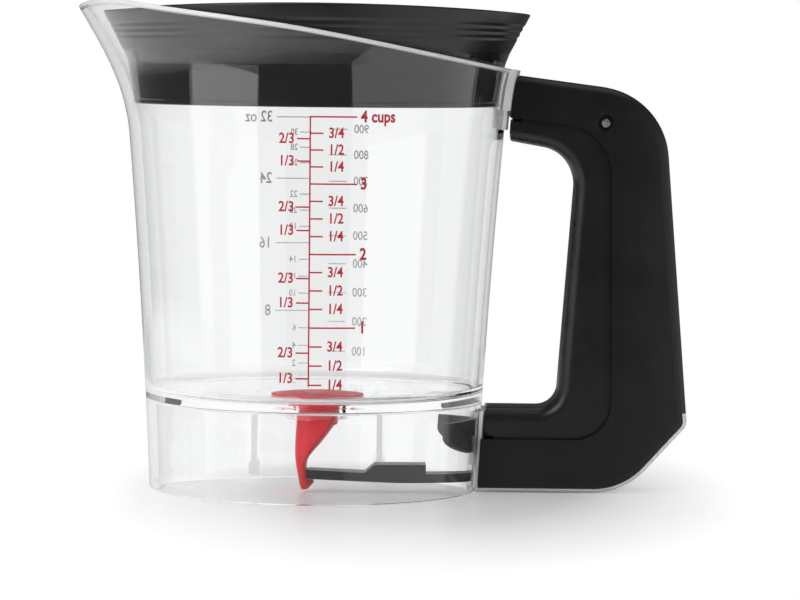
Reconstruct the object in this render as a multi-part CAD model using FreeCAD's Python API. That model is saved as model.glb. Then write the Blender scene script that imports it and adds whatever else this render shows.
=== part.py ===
"""Four-cup gravy fat separator with a bottom drain, millimetres, +Z up.

The jug's axis is vertical, its spout points to -X and its handle to +X. Squeezing the trigger in the
handle rocks a lever under the floor, and the lever lifts a silicone stopper out of the drain.
"""
import FreeCAD
import Part
import math
import os

V = FreeCAD.Vector

# ---- common clearances -------------------------------------------------------------------------
JOIN_GAP = 0.05         # between pieces that are screwed together
RUN_FIT = 0.05          # running fit of a pin, radial
OVERRUN = 1.0           # how far a cut or a root runs past the face it meets
CUT_OVERRUN = 20.0      # how far a large cutting shape runs past what it cuts

# ---- jug wall ----------------------------------------------------------------------------------
BASE_R = 55.05          # outer radius of the skirt where it stands
TAPER = 0.042           # radius gained per millimetre of height at the foot
BOW = 0.00018           # extra radius per square millimetre, the wall's slight outward bow
BOW_STEPS = 2           # cones that the bowed wall is made of, from foot to flare
WALL = 2.0              # jug wall
SKIRT_WALL = 2.0        # wall of the skirt below the floor, at its lower edge
FLARE_Z = 125.0         # the mouth starts to flare here
FLARE_TOP_Z = 161.0
FLARE = 9.0             # radius gained by the flare at FLARE_TOP_Z
FLARE_POWER = 2.4
SPOUT_Z = 118.0         # the spout starts to lean out here
SPOUT_TOP_Z = 158.0
SPOUT = 5.6             # how far the spout reaches past the flare
SPOUT_SPREAD = 26.0     # half angle over which the spout fades into the round, degrees
LOFT_Z = 110.0          # plain turned wall below, lofted mouth above

# ---- rim: one slanted sweep from the handle up to the spout ------------------------------------
RIM_HANDLE_Z = 141.0
RIM_MID_Z = 153.5
RIM_SHOULDER_Z = 160.0
RIM_SHOULDER_AT = 0.6   # share of the way from the axis to the spout's tip
RIM_SPOUT_Z = 162.6
RIM_SPOUT_AT = 0.86
RIM_TIP_Z = 160.9
RIM_TIP_FALL = 0.5      # slope of the rim line past the tip

# ---- floor and drain ---------------------------------------------------------------------------
FLOOR_Z = 33.0          # top of the floor at the wall, the scale's zero
FLOOR_DISH = 3.7        # how far the floor falls towards the drain
FLOOR_T = 2.7
FLOOR_FILLET = 3.0
SEAT_R = 17.0           # flat seat round the drain
DRAIN_X = 1.1           # the drain sits this far off the jug's axis, towards the handle
DRAIN_R = 8.0
COLLAR_R = 10.6         # outside of the drain collar
COLLAR_DROP = 1.8       # collar below the floor's underside

# ---- skirt details -----------------------------------------------------------------------------
RIB_X = 22.0            # two stiffening ribs inside the skirt's back wall
RIB_LOW_Z = 1.0
RIB_W = 2.0
RIB_DEPTH = 1.8
SLOT_HALF_W = 7.3       # slot through which the lever leaves the skirt
SLOT_LOW_Z = 1.6
SLOT_HIGH_Z = 8.6

# ---- stopper -----------------------------------------------------------------------------------
STOPPER_R = 15.6
STOPPER_T = 2.0
STOPPER_LIP = 0.8       # thickness at the disc's edge
STOPPER_BEVEL = 5.0     # slope from the edge up to the disc's flat middle
NECK_R = 6.9
SEAT_GAP = 0.2
TAIL_START = 0.6        # the tail takes over from the neck this far below the collar
TAIL_R = 7.6            # the tail's side edges swell this far from the drain's axis
TAIL_FULL_Z = 20.7      # the slanted side starts here and ends in the fold above the lever
TAIL_FOLD_X = -2.8
TAIL_FOLD_Z = 9.0
TAIL_BELLY_X = 2.9      # corner halfway down the slanted side
TAIL_BELLY_Z = 13.9
TAIL_SWELL_Z = 14.0     # the straight side is widest here
HOOK_X = -1.1           # end of the hook under the lever's tip
HOOK_Z = 3.1
HOOK_TIP_X = -5.1
HOOK_TIP_Z = 0.6
HOOK_T = 1.7            # thickness of the hook at its end

# ---- lever -------------------------------------------------------------------------------------
LEVER_Z = 5.0           # height of the lever's hinge and of the arm's middle
LEVER_T = 3.0
LEVER_W = 13.0
TIP_RISE = 1.3          # the arm bends up towards its tip
ARM_BEND_X = 28.0
LEVER_HUB_R = 3.0
PIN_BOSS_R = 3.3        # bosses on the handle that carry the lever's pin
LEVER_SIDE_GAP = 0.35
LEVER_PIN_R = 1.25
LEVER_PIN_OUT = 3.4     # pin axis, out from the foot of the skirt
TIP_X = -3.9            # end of the tongue inside the stopper's tail
TONGUE_W = 8.0
TONGUE_LENGTH = 2.2
TIP_CLEAR = 0.5         # room round the tongue in the stopper's tail
BLOCK_FROM_X = 20.5     # raised pad on the arm
BLOCK_TO_X = 37.6
BLOCK_H = 3.2
BLOCK_RAMP = 3.3
TAIL_LENGTH = 19.4      # lever tail, out from the pin
TAIL_TOP = 3.0          # tail's top above the pin axis
TAIL_T = 3.4
TAIL_FLAT = 14.5        # the cam's flat part, out from the pin
TAIL_RISE = 0.65        # the cam's rise at the tail's end
TAIL_ROOM = 2.5         # room in the handle's foot past the tail's end

# ---- handle ------------------------------------------------------------------------------------
HANDLE_W = 26.0
SHELL_WALL = 2.2
HANDLE_TOP_Z = 139.1    # top line of the handle at the jug wall
TOP_SLOPE = 0.128       # fall of the top line per millimetre outwards
TOP_REACH = 51.9        # back corner, out from the wall
BACK_CORNER_Z = 132.8
BACK_CORNER_R = 25.0
HEEL_REACH = 68.5
HEEL_Z = 22.8
HEEL_R = 4.0
SOLE_REACH = 49.0       # where the slanted heel would meet the table
SOLE_R = 24.0
SHELL_ROUND = 3.6       # rounding of the shell's outer edges
SEAM_TOP_Z = 125.0      # parting line between shell and trigger
SEAM_SLOPE = 0.105
SEAM_TOP_REACH = 35.0
SEAM_TOP_R = 17.0
SEAM_FOOT_Z = 17.8
SEAM_FOOT_REACH = 43.5
SEAM_FOOT_R = 12.5
FINGER_TOP_Z = 117.4    # finger opening, at the jug wall
FINGER_SLOPE = 0.173
FINGER_ROOM = 24.6
FINGER_TOP_R = 13.0
FINGER_FOOT_Z = 28.2
FINGER_FOOT_R = 7.0
BRACKET_T = 2.5         # clear pad on the jug wall, in front of the handle's top end
BRACKET_W = 28.0
BRACKET_LOW_Z = 127.2
BRACKET_FOOT_T = 1.2    # thinner foot of the pad
BRACKET_FOOT_Z = 120.8

# ---- trigger -----------------------------------------------------------------------------------
TRIGGER_WALL = 2.2
TRIGGER_SIDE = 2.0
TRIGGER_ROUND = 4.6     # rounding of the finger edge
TRIGGER_GAP = 0.5       # trigger to shell, each side
TRIGGER_FRONT_GAP = 0.3 # trigger to the jug's flange and pad
TRIGGER_HIDDEN = 7.0    # how deep the trigger reaches into the shell
SEAM_GROOVE = 0.9       # groove between the trigger's ends and the shell's front walls
TRIGGER_PIN_REACH = 33.1
TRIGGER_PIN_Z = 123.5
TRIGGER_PIN_R = 1.45
TRIGGER_BOSS_R = 4.2
PIN_RING_R = 2.7        # countersunk ring round the pin's end
PIN_RING_DEPTH = 0.9
PIN_PROUD = 0.5         # the pin's end stands this far out of the ring's floor
PIN_END_GAP = 0.2       # the lever's pin to the shell's sides
PUSHER_OUT = 10.5       # pusher nose, out from the lever's pin
PUSHER_T = 2.8
PUSHER_W = 9.0
PUSHER_GAP = 0.2

# ---- spine strip, anchor and screws ------------------------------------------------------------
STRIP_T = 1.4
STRIP_END_Z = 27.0
STRIP_STEP = 6.0        # the shell's back gets its full thickness this far above the strip
FLANGE_T = 1.2
FLANGE_W = 22.0
FLANGE_TOP_Z = 27.0
BLOCK_LENGTH = 7.0      # screw block in the handle's foot
SCREW_BLOCK_W = 14.6
SCREW_BLOCK_LOW_Z = 9.4
SCREW_BLOCK_TOP_Z = 20.0
ANCHOR_T = 2.0
ANCHOR_HALF_W = 30.4
ANCHOR_TOP_Z = 24.9
ANCHOR_MID_Z = 20.4
ANCHOR_DROP = 7.4       # depth of the plate's rounded lower edge
SCREW_R = 1.2
SCREW_HEAD_R = 2.4
SCREW_HEAD_H = 1.7
SCREW_HEAD_GAP = 0.15
SCREW_END_GAP = 0.3
ANCHOR_SCREW_Y = 4.3
ANCHOR_SCREW_Z = 16.2
ANCHOR_SCREW_BITE = 6.0
ANCHOR_SEAT_T = 1.3     # plate left under a screw head
TONGUE_PLATE_W = 14.6   # tongue on the jug that carries the handle's top
TONGUE_PLATE_OUT = 11.0
TONGUE_GAP = 0.2
TONGUE_PLATE_LOW_Z = 127.6
TONGUE_PLATE_TOP_Z = 133.6
TOP_SCREW_OUT = 8.0
TOP_SCREW_BITE = 3.0
SCREW_BOSS_R = 3.2

# ---- return spring -----------------------------------------------------------------------------
SPRING_Z = 62.0
SPRING_R = 3.6
SPRING_WIRE_R = 0.45
SPRING_TURNS = 5
SPRING_LENGTH = 15.0
SPRING_POST_R = 5.2
SPRING_SPIGOT_R = 2.4
SPRING_SPIGOT_H = 3.6
SPRING_GAP = 0.15

# ---- strainer lid ------------------------------------------------------------------------------
LID_BOTTOM_Z = 128.5
LID_GAP = 0.35          # lid to the inside of the mouth, at the bottom and at the neck's top
LID_WALL = 2.0
FUNNEL_SLOPE = 0.5      # the wall's inside leans in by this much more
BAND_TOP_Z = 142.0
BAND_GAP = 1.2          # band's top to the inside of the mouth
NECK_TOP_Z = 150.0
LID_RIM_Z = 161.6
RIM_GAP = 1.95          # rim to the line of the mouth's inside at that height
LID_CROWN = 2.4         # the rim stands this much higher at the sides than at spout and handle
NECK_SAG = 0.3          # hollow of the neck below the collar
RIDGE_FOOT = 1.4        # lowest groove, above the neck
RIDGE_DEPTH = 0.75
GROOVE_HALF_H = 0.68    # half the height of a groove's mouth
RIDGE_PITCH = 2.3
RIDGES = 3
STRAINER_T = 1.8
STRAINER_HOLE_R = 2.2
STRAINER_PITCH = 13.0
STRAINER_RINGS = 2




# ---- helpers -----------------------------------------------------------------------------------
def bowed_r(z):
    return BASE_R + TAPER * z + BOW * z * z


def body_r(z):
    """Outer radius of the plain wall: cones that follow the bow."""
    step = FLARE_Z / BOW_STEPS
    index = min(BOW_STEPS - 1, max(0, int(z // step)))
    low_r, high_r = bowed_r(index * step), bowed_r((index + 1) * step)
    return low_r + (high_r - low_r) * (z - index * step) / step


def flare(z):
    """Radius that the flared mouth adds."""
    return FLARE * max(0.0, (z - FLARE_Z) / (FLARE_TOP_Z - FLARE_Z)) ** FLARE_POWER


def wall_r(z):
    """Outer radius of the jug away from the spout."""
    return body_r(z) + flare(z)


def spout(z, angle):
    """Radius that the spout adds at a height and at an angle from the -X direction, in degrees."""
    t = min(1.0, max(0.0, (z - SPOUT_Z) / (SPOUT_TOP_Z - SPOUT_Z)))
    return SPOUT * t * t * (3.0 - 2.0 * t) * math.exp(-(angle / SPOUT_SPREAD) ** 2)


def line(a, b):
    return Part.makeLine(V(*a), V(*b))


def xz(points):
    return [V(x, 0.0, z) for x, z in points]


def curve(points):
    """Smooth edge through points in the XZ plane."""
    spline = Part.BSplineCurve()
    spline.interpolate(xz(points))
    return spline.toShape()


def height_steps(low, high, count=6):
    return [low + (high - low) * i / (count - 1) for i in range(count)]


def plain_wall(low, high, inset=0.0):
    """Edges up along the plain wall between two heights."""
    knots = [FLARE_Z * i / BOW_STEPS for i in range(1, BOW_STEPS)]
    heights = [low] + [z for z in knots if low < z < high] + [high]
    return [line((body_r(a) - inset, 0, a), (body_r(b) - inset, 0, b)) for a, b in zip(heights, heights[1:])]


def wall_curve(low, high, inset=0.0):
    """Edges up along the jug wall between two heights."""
    edges = []
    if low < FLARE_Z:
        edges += plain_wall(low, min(high, FLARE_Z), inset)
    if high > FLARE_Z:
        edges.append(curve([(wall_r(z) - inset, z) for z in height_steps(max(low, FLARE_Z), high)]))
    return edges


def chain(points):
    """Straight edges from point to point in the XZ plane."""
    return [line((a[0], 0, a[1]), (b[0], 0, b[1])) for a, b in zip(points, points[1:])]


def polygon(points):
    """Closed flat face from corners in the XZ plane."""
    corners = xz(points)
    return Part.Face(Part.makePolygon(corners + corners[:1]))


def rounded(points):
    """Closed face in the XZ plane from corners (x, z, radius), runs joined by tangent arcs."""
    count = len(points)
    starts, ends, middles = [], [], []
    for i in range(count):
        x, z, radius = points[i]
        here = V(x, 0, z)
        before = V(points[i - 1][0], 0, points[i - 1][1]) - here
        after = V(points[(i + 1) % count][0], 0, points[(i + 1) % count][1]) - here
        half = before.getAngle(after) / 2.0
        cut = radius / math.tan(half)
        before.normalize()
        after.normalize()
        starts.append(here + before * cut)
        ends.append(here + after * cut)
        bisector = before + after
        bisector.normalize()
        middles.append(here + bisector * (radius / math.sin(half) - radius))
    edges = []
    for i in range(count):
        if points[i][2] > 0:
            edges.append(Part.Arc(starts[i], middles[i], ends[i]).toShape())
        edges.append(Part.makeLine(ends[i], starts[(i + 1) % count]))
    return Part.Face(Part.Wire(edges))


def across(face, width):
    """Plate of a given width, centred on the handle's middle plane."""
    plate = face.copy()
    plate.translate(V(0, -width / 2.0, 0))
    return plate.extrude(V(0, width, 0))


def turned(edges):
    """Body turned about the jug's axis from edges in the XZ plane."""
    face = Part.Face(Part.Wire(edges))
    return face.revolve(V(0, 0, 0), V(0, 0, 1), 360)


def rod(radius, start, end):
    direction = V(*end) - V(*start)
    return Part.makeCylinder(radius, direction.Length, V(*start), direction)


def block(low, high):
    return Part.makeBox(high[0] - low[0], high[1] - low[1], high[2] - low[2], V(*low))


def wall_solid(offset, low, high):
    """Solid bounded by the jug wall moved out by offset, between two heights."""
    return turned(wall_curve(low, high, -offset) + [
        line((wall_r(high) + offset, 0, high), (0, 0, high)),
        line((0, 0, high), (0, 0, low)),
        line((0, 0, low), (wall_r(low) + offset, 0, low)),
    ])


# ---- jug ---------------------------------------------------------------------------------------
SEAT_Z = FLOOR_Z - FLOOR_DISH
UNDER_Z = SEAT_Z - FLOOR_T
COLLAR_Z = UNDER_Z - COLLAR_DROP
LEVER_PIN_X = BASE_R + LEVER_PIN_OUT
TRIGGER_PIN_X = body_r(TRIGGER_PIN_Z) + TRIGGER_PIN_REACH


def skirt_in_r(z):
    """Inner radius of the skirt."""
    return body_r(z) - SKIRT_WALL


def lower_jug():
    """Skirt, dished floor and the plain wall."""
    fillet_z = FLOOR_Z + FLOOR_FILLET
    wall_foot = wall_r(fillet_z) - WALL
    ledge = wall_foot - FLOOR_FILLET
    under_z = FLOOR_Z - FLOOR_T
    bend = FLOOR_FILLET * (1 - math.cos(math.pi / 4))
    outside = plain_wall(0, LOFT_Z)
    inside = plain_wall(fillet_z, LOFT_Z, WALL)
    profile = [
        (wall_foot, fillet_z),
        (wall_foot - bend, FLOOR_Z + bend),
        (ledge, FLOOR_Z),
        (SEAT_R, SEAT_Z),
        (0, SEAT_Z),
        (0, UNDER_Z),
        (SEAT_R, UNDER_Z),
        (skirt_in_r(under_z), under_z),
        (BASE_R - SKIRT_WALL, 0),
        (BASE_R, 0),
    ]
    top = line((body_r(LOFT_Z), 0, LOFT_Z), (body_r(LOFT_Z) - WALL, 0, LOFT_Z))
    return turned(outside + [top] + inside[::-1] + chain(profile))


def upright_rod(radius, low, high):
    """Cylinder on the drain's axis."""
    return rod(radius, (DRAIN_X, 0, low), (DRAIN_X, 0, high))


def drain_collar():
    return upright_rod(COLLAR_R, COLLAR_Z, UNDER_Z + FLOOR_T / 2)


def mouth_section(z, inset, count=18):
    """Closed outline of the mouth at one height: round, with the spout leaning out to -X."""
    if z <= SPOUT_Z:
        return Part.Wire(Part.makeCircle(wall_r(z) - inset, V(0, 0, z)))
    points = []
    for i in range(count):
        angle = 360.0 * i / count
        from_spout = abs(angle - 180.0)
        r = wall_r(z) - inset + spout(z, from_spout)
        points.append(V(r * math.cos(math.radians(angle)), r * math.sin(math.radians(angle)), z))
    ring = Part.BSplineCurve()
    ring.interpolate(points, PeriodicFlag=True)
    return Part.Wire(ring.toShape())


def mouth_loft(inset):
    top = RIM_SPOUT_Z + 5 * OVERRUN
    return Part.makeLoft([mouth_section(z, inset) for z in height_steps(LOFT_Z, top, 8)], True)


def above_rim():
    """Everything above the slanted rim line."""
    reach = wall_r(RIM_TIP_Z) + SPOUT
    top = RIM_SPOUT_Z + CUT_OVERRUN
    far_x = wall_r(RIM_HANDLE_Z) + CUT_OVERRUN
    slope = (RIM_MID_Z - RIM_HANDLE_Z) / wall_r(RIM_HANDLE_Z)
    rim = [
        (far_x, RIM_HANDLE_Z - slope * CUT_OVERRUN),
        (wall_r(RIM_HANDLE_Z), RIM_HANDLE_Z),
        (0.0, RIM_MID_Z),
        (-RIM_SHOULDER_AT * reach, RIM_SHOULDER_Z),
        (-RIM_SPOUT_AT * reach, RIM_SPOUT_Z),
        (-reach, RIM_TIP_Z),
        (-reach - SPOUT, RIM_TIP_Z - RIM_TIP_FALL * SPOUT),
    ]
    (x0, z0), (x1, z1) = rim[-1], rim[0]
    edges = [curve(rim), line((x0, 0, z0), (x0 - reach, 0, z0)),
             line((x0 - reach, 0, z0), (x0 - reach, 0, top)),
             line((x0 - reach, 0, top), (x1, 0, top)), line((x1, 0, top), (x1, 0, z1))]
    return across(Part.Face(Part.Wire(edges)), 4 * wall_r(RIM_SPOUT_Z))


def skirt_ribs():
    """Two ribs down the inside of the skirt's back wall."""
    low, high = RIB_LOW_Z, FLOOR_Z - FLOOR_T
    root = SKIRT_WALL / 4
    inside = turned(chain([
        (skirt_in_r(low) + root, low),
        (skirt_in_r(high) + root, high),
        (skirt_in_r(high) - RIB_DEPTH, high),
        (skirt_in_r(low) - RIB_DEPTH, low),
        (skirt_in_r(low) + root, low),
    ]))
    ribs = []
    for x in (-RIB_X, RIB_X):
        zone = block((x - RIB_W / 2, 0, low), (x + RIB_W / 2, BASE_R, high + OVERRUN))
        ribs.append(inside.common(zone))
    return ribs


def lever_slot():
    """Straight slot through the skirt, the flange and the shell's front for the lever."""
    return block((BASE_R - CUT_OVERRUN, -SLOT_HALF_W, SLOT_LOW_Z), (LEVER_PIN_X, SLOT_HALF_W, SLOT_HIGH_Z))


def anchor_holes(radius, x_from, x_to):
    return [rod(radius, (x_from, y, ANCHOR_SCREW_Z), (x_to, y, ANCHOR_SCREW_Z))
            for y in (-ANCHOR_SCREW_Y, ANCHOR_SCREW_Y)]


def top_screw_x():
    return wall_r(TONGUE_PLATE_TOP_Z) + TOP_SCREW_OUT


def tongue():
    """Tongue on the jug wall that slides into the handle's top end."""
    half = TONGUE_PLATE_W / 2
    out = wall_r(TONGUE_PLATE_TOP_Z) + TONGUE_PLATE_OUT
    plate = block((BASE_R, -half, TONGUE_PLATE_LOW_Z), (out, half, TONGUE_PLATE_TOP_Z))
    low, high = TONGUE_PLATE_LOW_Z - OVERRUN, TONGUE_PLATE_TOP_Z + OVERRUN
    hole = rod(SCREW_R + RUN_FIT, (top_screw_x(), 0, low), (top_screw_x(), 0, high))
    return plate.cut([wall_solid(-WALL / 2, low, high), hole])


def pad(thickness, low, width):
    """Pad that follows the outside of the jug wall from a height up to the rim."""
    high = RIM_HANDLE_Z + OVERRUN
    skin = wall_solid(thickness, low, high).cut(wall_solid(-WALL / 2, low - OVERRUN, high + OVERRUN))
    return skin.common(block((0, -width / 2, low), (2 * BASE_R, width / 2, high)))


def bracket():
    """Pad that the handle's top end butts against, with a thinner, narrower foot."""
    return pad(BRACKET_T, BRACKET_LOW_Z, BRACKET_W).fuse(
        pad(BRACKET_FOOT_T, BRACKET_FOOT_Z, BRACKET_W - 2 * BRACKET_T)).cut(above_rim())


def make_vessel():
    mouth = mouth_loft(0.0).cut(mouth_loft(WALL)).cut(above_rim())
    jug = lower_jug().fuse([drain_collar(), mouth, tongue(), bracket()] + skirt_ribs())
    drain = upright_rod(DRAIN_R, COLLAR_Z - OVERRUN, SEAT_Z + OVERRUN)
    holes = anchor_holes(SCREW_R + RUN_FIT, BASE_R - CUT_OVERRUN, BASE_R + CUT_OVERRUN)
    return jug.cut([drain, lever_slot()] + holes).removeSplitter()


# ---- lid ---------------------------------------------------------------------------------------
BAND_TOP_R = wall_r(BAND_TOP_Z) - WALL - BAND_GAP
NECK_TOP_R = wall_r(NECK_TOP_Z) - WALL - LID_GAP
LID_RIM_R = wall_r(LID_RIM_Z) - WALL - RIM_GAP


def lid_bottom_r():
    return wall_r(LID_BOTTOM_Z) - WALL - LID_GAP


def ridge_line(z):
    """Radius of the lid's flared collar at a height."""
    return NECK_TOP_R + (LID_RIM_R - NECK_TOP_R) * (z - NECK_TOP_Z) / (LID_RIM_Z - NECK_TOP_Z)


def ridged_collar(rim_z):
    """Points up the outside of the collar, with grooves that leave ridges between them."""
    half = GROOVE_HALF_H
    corners = [(NECK_TOP_R, NECK_TOP_Z)]
    for i in range(RIDGES):
        z = NECK_TOP_Z + RIDGE_FOOT + i * RIDGE_PITCH
        corners += [(ridge_line(z - half), z - half), (ridge_line(z) - RIDGE_DEPTH, z),
                    (ridge_line(z + half), z + half)]
    return corners + [(LID_RIM_R, rim_z)]


def lid_body():
    """Funnel with the band that seats in the mouth and the flared, ridged collar."""
    rim_z = LID_RIM_Z + OVERRUN
    floor_in = LID_BOTTOM_Z + STRAINER_T
    inset = LID_WALL + FUNNEL_SLOPE
    neck = ((BAND_TOP_R + NECK_TOP_R) / 2 - NECK_SAG, (BAND_TOP_Z + NECK_TOP_Z) / 2)
    outside = [(lid_bottom_r(), LID_BOTTOM_Z), (BAND_TOP_R, BAND_TOP_Z), neck] + ridged_collar(rim_z)
    inside = [(LID_RIM_R - LID_WALL, rim_z), (NECK_TOP_R - inset, NECK_TOP_Z),
              (BAND_TOP_R - inset, BAND_TOP_Z), (lid_bottom_r() - inset, floor_in), (0, floor_in),
              (0, LID_BOTTOM_Z)]
    return turned(chain(outside + inside + outside[:1]))


def above_crown():
    """Everything above the lid's crowned rim: an arc seen from the side."""
    edge_z = LID_RIM_Z - LID_CROWN
    far_x = LID_RIM_R + OVERRUN / 2
    arc = Part.Arc(V(-far_x, 0, edge_z), V(0, 0, LID_RIM_Z), V(far_x, 0, edge_z)).toShape()
    top = LID_RIM_Z + CUT_OVERRUN
    edges = [arc, line((far_x, 0, edge_z), (far_x, 0, top)), line((far_x, 0, top), (-far_x, 0, top)),
             line((-far_x, 0, top), (-far_x, 0, edge_z))]
    return across(Part.Face(Part.Wire(edges)), 4 * far_x)


def strainer_holes():
    """Rings of drain holes through the lid's floor."""
    low, high = LID_BOTTOM_Z - OVERRUN, LID_BOTTOM_Z + STRAINER_T + OVERRUN
    holes = [rod(STRAINER_HOLE_R, (0, 0, low), (0, 0, high))]
    for ring in range(1, STRAINER_RINGS + 1):
        for i in range(6 * ring):
            angle = 2 * math.pi * i / (6 * ring)
            x = ring * STRAINER_PITCH * math.cos(angle)
            y = ring * STRAINER_PITCH * math.sin(angle)
            holes.append(rod(STRAINER_HOLE_R, (x, y, low), (x, y, high)))
    return holes


def make_lid():
    return lid_body().cut([above_crown()] + strainer_holes())


# ---- handle ------------------------------------------------------------------------------------
INSIDE_X = BASE_R - 3 * WALL    # outlines start inside the jug and are trimmed to its wall


def handle_outline():
    """Outline of the whole handle, seen from the side."""
    top_x = wall_r(HANDLE_TOP_Z)
    return rounded([
        (INSIDE_X, HANDLE_TOP_Z + TOP_SLOPE * (top_x - INSIDE_X), 0),
        (body_r(BACK_CORNER_Z) + TOP_REACH, BACK_CORNER_Z, BACK_CORNER_R),
        (body_r(HEEL_Z) + HEEL_REACH, HEEL_Z, HEEL_R),
        (BASE_R + SOLE_REACH, 0.0, SOLE_R),
        (INSIDE_X, 0.0, 0),
    ])


def seam_outline():
    """Parting line of shell and trigger, closed on the jug's side."""
    top_x = body_r(SEAM_TOP_Z)
    corner_x = top_x + SEAM_TOP_REACH
    return rounded([
        (INSIDE_X, SEAM_TOP_Z + SEAM_SLOPE * (top_x - INSIDE_X), 0),
        (corner_x, SEAM_TOP_Z - SEAM_SLOPE * SEAM_TOP_REACH, SEAM_TOP_R),
        (body_r(SEAM_FOOT_Z) + SEAM_FOOT_REACH, SEAM_FOOT_Z, SEAM_FOOT_R),
        (INSIDE_X, SEAM_FOOT_Z, 0),
    ])


def finger_outline():
    """Finger opening, closed on the jug's side."""
    top_x = body_r(FINGER_TOP_Z)
    return rounded([
        (INSIDE_X, FINGER_TOP_Z + FINGER_SLOPE * (top_x - INSIDE_X), 0),
        (top_x + FINGER_ROOM, FINGER_TOP_Z - FINGER_SLOPE * FINGER_ROOM, FINGER_TOP_R),
        (body_r(FINGER_FOOT_Z) + FINGER_ROOM, FINGER_FOOT_Z, FINGER_FOOT_R),
        (INSIDE_X, FINGER_FOOT_Z, 0),
    ])


def outer_edges(solid):
    """Long edges along the handle's back, top and sole, on both sides."""
    found = []
    for edge in solid.Edges:
        box = edge.BoundBox
        on_side = box.YLength < 1e-6 and abs(abs(box.YMin) - HANDLE_W / 2) < 1e-6
        if on_side and box.XMax > INSIDE_X + 1e-3:
            found.append(edge)
    return found


def front_space(extra):
    """Space in front of the handle: the jug with its pad above and the clear flange below."""
    middle_z = (FLANGE_TOP_Z + FINGER_TOP_Z) / 2
    foot = wall_solid(FLANGE_T + 2 * JOIN_GAP + extra, -OVERRUN, middle_z)
    head = wall_solid(BRACKET_T + 2 * JOIN_GAP + extra, middle_z, HANDLE_TOP_Z + CUT_OVERRUN)
    return foot.fuse(head)


def handle_envelope():
    """Whole handle as one rounded plate, trimmed to the jug."""
    plate = across(handle_outline(), HANDLE_W)
    return plate.makeFillet(SHELL_ROUND, outer_edges(plate)).cut(front_space(0))


def below_strip(depth):
    """Zone within a depth of the handle's sole and heel: the place of the clear strip."""
    inner = across(handle_outline().makeOffset2D(-depth), HANDLE_W + 2 * OVERRUN)
    reach = body_r(HEEL_Z) + HEEL_REACH + CUT_OVERRUN
    zone = block((0, -HANDLE_W, -OVERRUN), (reach, HANDLE_W, STRIP_END_Z))
    front = block((0, -HANDLE_W, depth), (LEVER_PIN_X + PIN_BOSS_R, HANDLE_W, STRIP_END_Z))
    return zone.cut(inner.fuse(front))


def cavity():
    """Hollow of the shell: a channel that opens towards the fingers."""
    hollow = across(handle_outline().makeOffset2D(-SHELL_WALL - STRIP_T), inner_width())
    upper = across(handle_outline().makeOffset2D(-SHELL_WALL), inner_width())
    far_x = 2 * (BASE_R + HEEL_REACH)
    upper = upper.cut(block((0, -HANDLE_W, -OVERRUN), (far_x, HANDLE_W, STRIP_END_Z + STRIP_STEP)))
    return hollow.fuse(upper).cut(front_space(SHELL_WALL))


def inner_width():
    return HANDLE_W - 2 * SHELL_WALL


def tail_bay():
    """Cut in the shell's foot in which the lever's tail swings."""
    return block((BASE_R - WALL, -SLOT_HALF_W, STRIP_T + JOIN_GAP),
                 (LEVER_PIN_X + TAIL_LENGTH + TAIL_ROOM, SLOT_HALF_W, SLOT_HIGH_Z))


def pin_bosses():
    """Two bosses on the shell's side walls that carry the lever's pin."""
    bosses = []
    for side in (-1, 1):
        start = side * (LEVER_W / 2 + LEVER_SIDE_GAP)
        end = side * (inner_width() / 2 + SHELL_WALL / 4)
        boss = rod(PIN_BOSS_R, (LEVER_PIN_X, start, LEVER_Z), (LEVER_PIN_X, end, LEVER_Z))
        bosses.append(boss.cut(front_space(0)))
    return bosses


def screw_block():
    """Block in the handle's foot that the anchor screws bite into."""
    half = SCREW_BLOCK_W / 2
    low = block((BASE_R, -half, SCREW_BLOCK_LOW_Z),
                (body_r(ANCHOR_SCREW_Z) + FLANGE_T + BLOCK_LENGTH, half, SCREW_BLOCK_TOP_Z))
    return low.cut(front_space(0))


def roof_z(x):
    """Height of the handle's top line."""
    return HANDLE_TOP_Z - TOP_SLOPE * (x - wall_r(HANDLE_TOP_Z))


def roof_boss():
    x = top_screw_x()
    return rod(SCREW_BOSS_R, (x, 0, TONGUE_PLATE_TOP_Z + JOIN_GAP), (x, 0, roof_z(x) - SHELL_WALL / 2))


def tongue_pocket():
    """Opening in the shell's front wall for the jug's tongue."""
    half = TONGUE_PLATE_W / 2 + TONGUE_GAP
    far_x = wall_r(TONGUE_PLATE_TOP_Z) + BRACKET_T + SHELL_WALL + OVERRUN
    return block((INSIDE_X, -half, TONGUE_PLATE_LOW_Z - TONGUE_GAP),
                 (far_x, half, TONGUE_PLATE_TOP_Z + JOIN_GAP))


def spring_back_x():
    """Inner face of the shell's back at the spring's height."""
    low_x, high_x = body_r(HEEL_Z) + HEEL_REACH, body_r(BACK_CORNER_Z) + TOP_REACH
    share = (SPRING_Z - HEEL_Z) / (BACK_CORNER_Z - HEEL_Z)
    return low_x + (high_x - low_x) * share - SHELL_WALL


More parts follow.
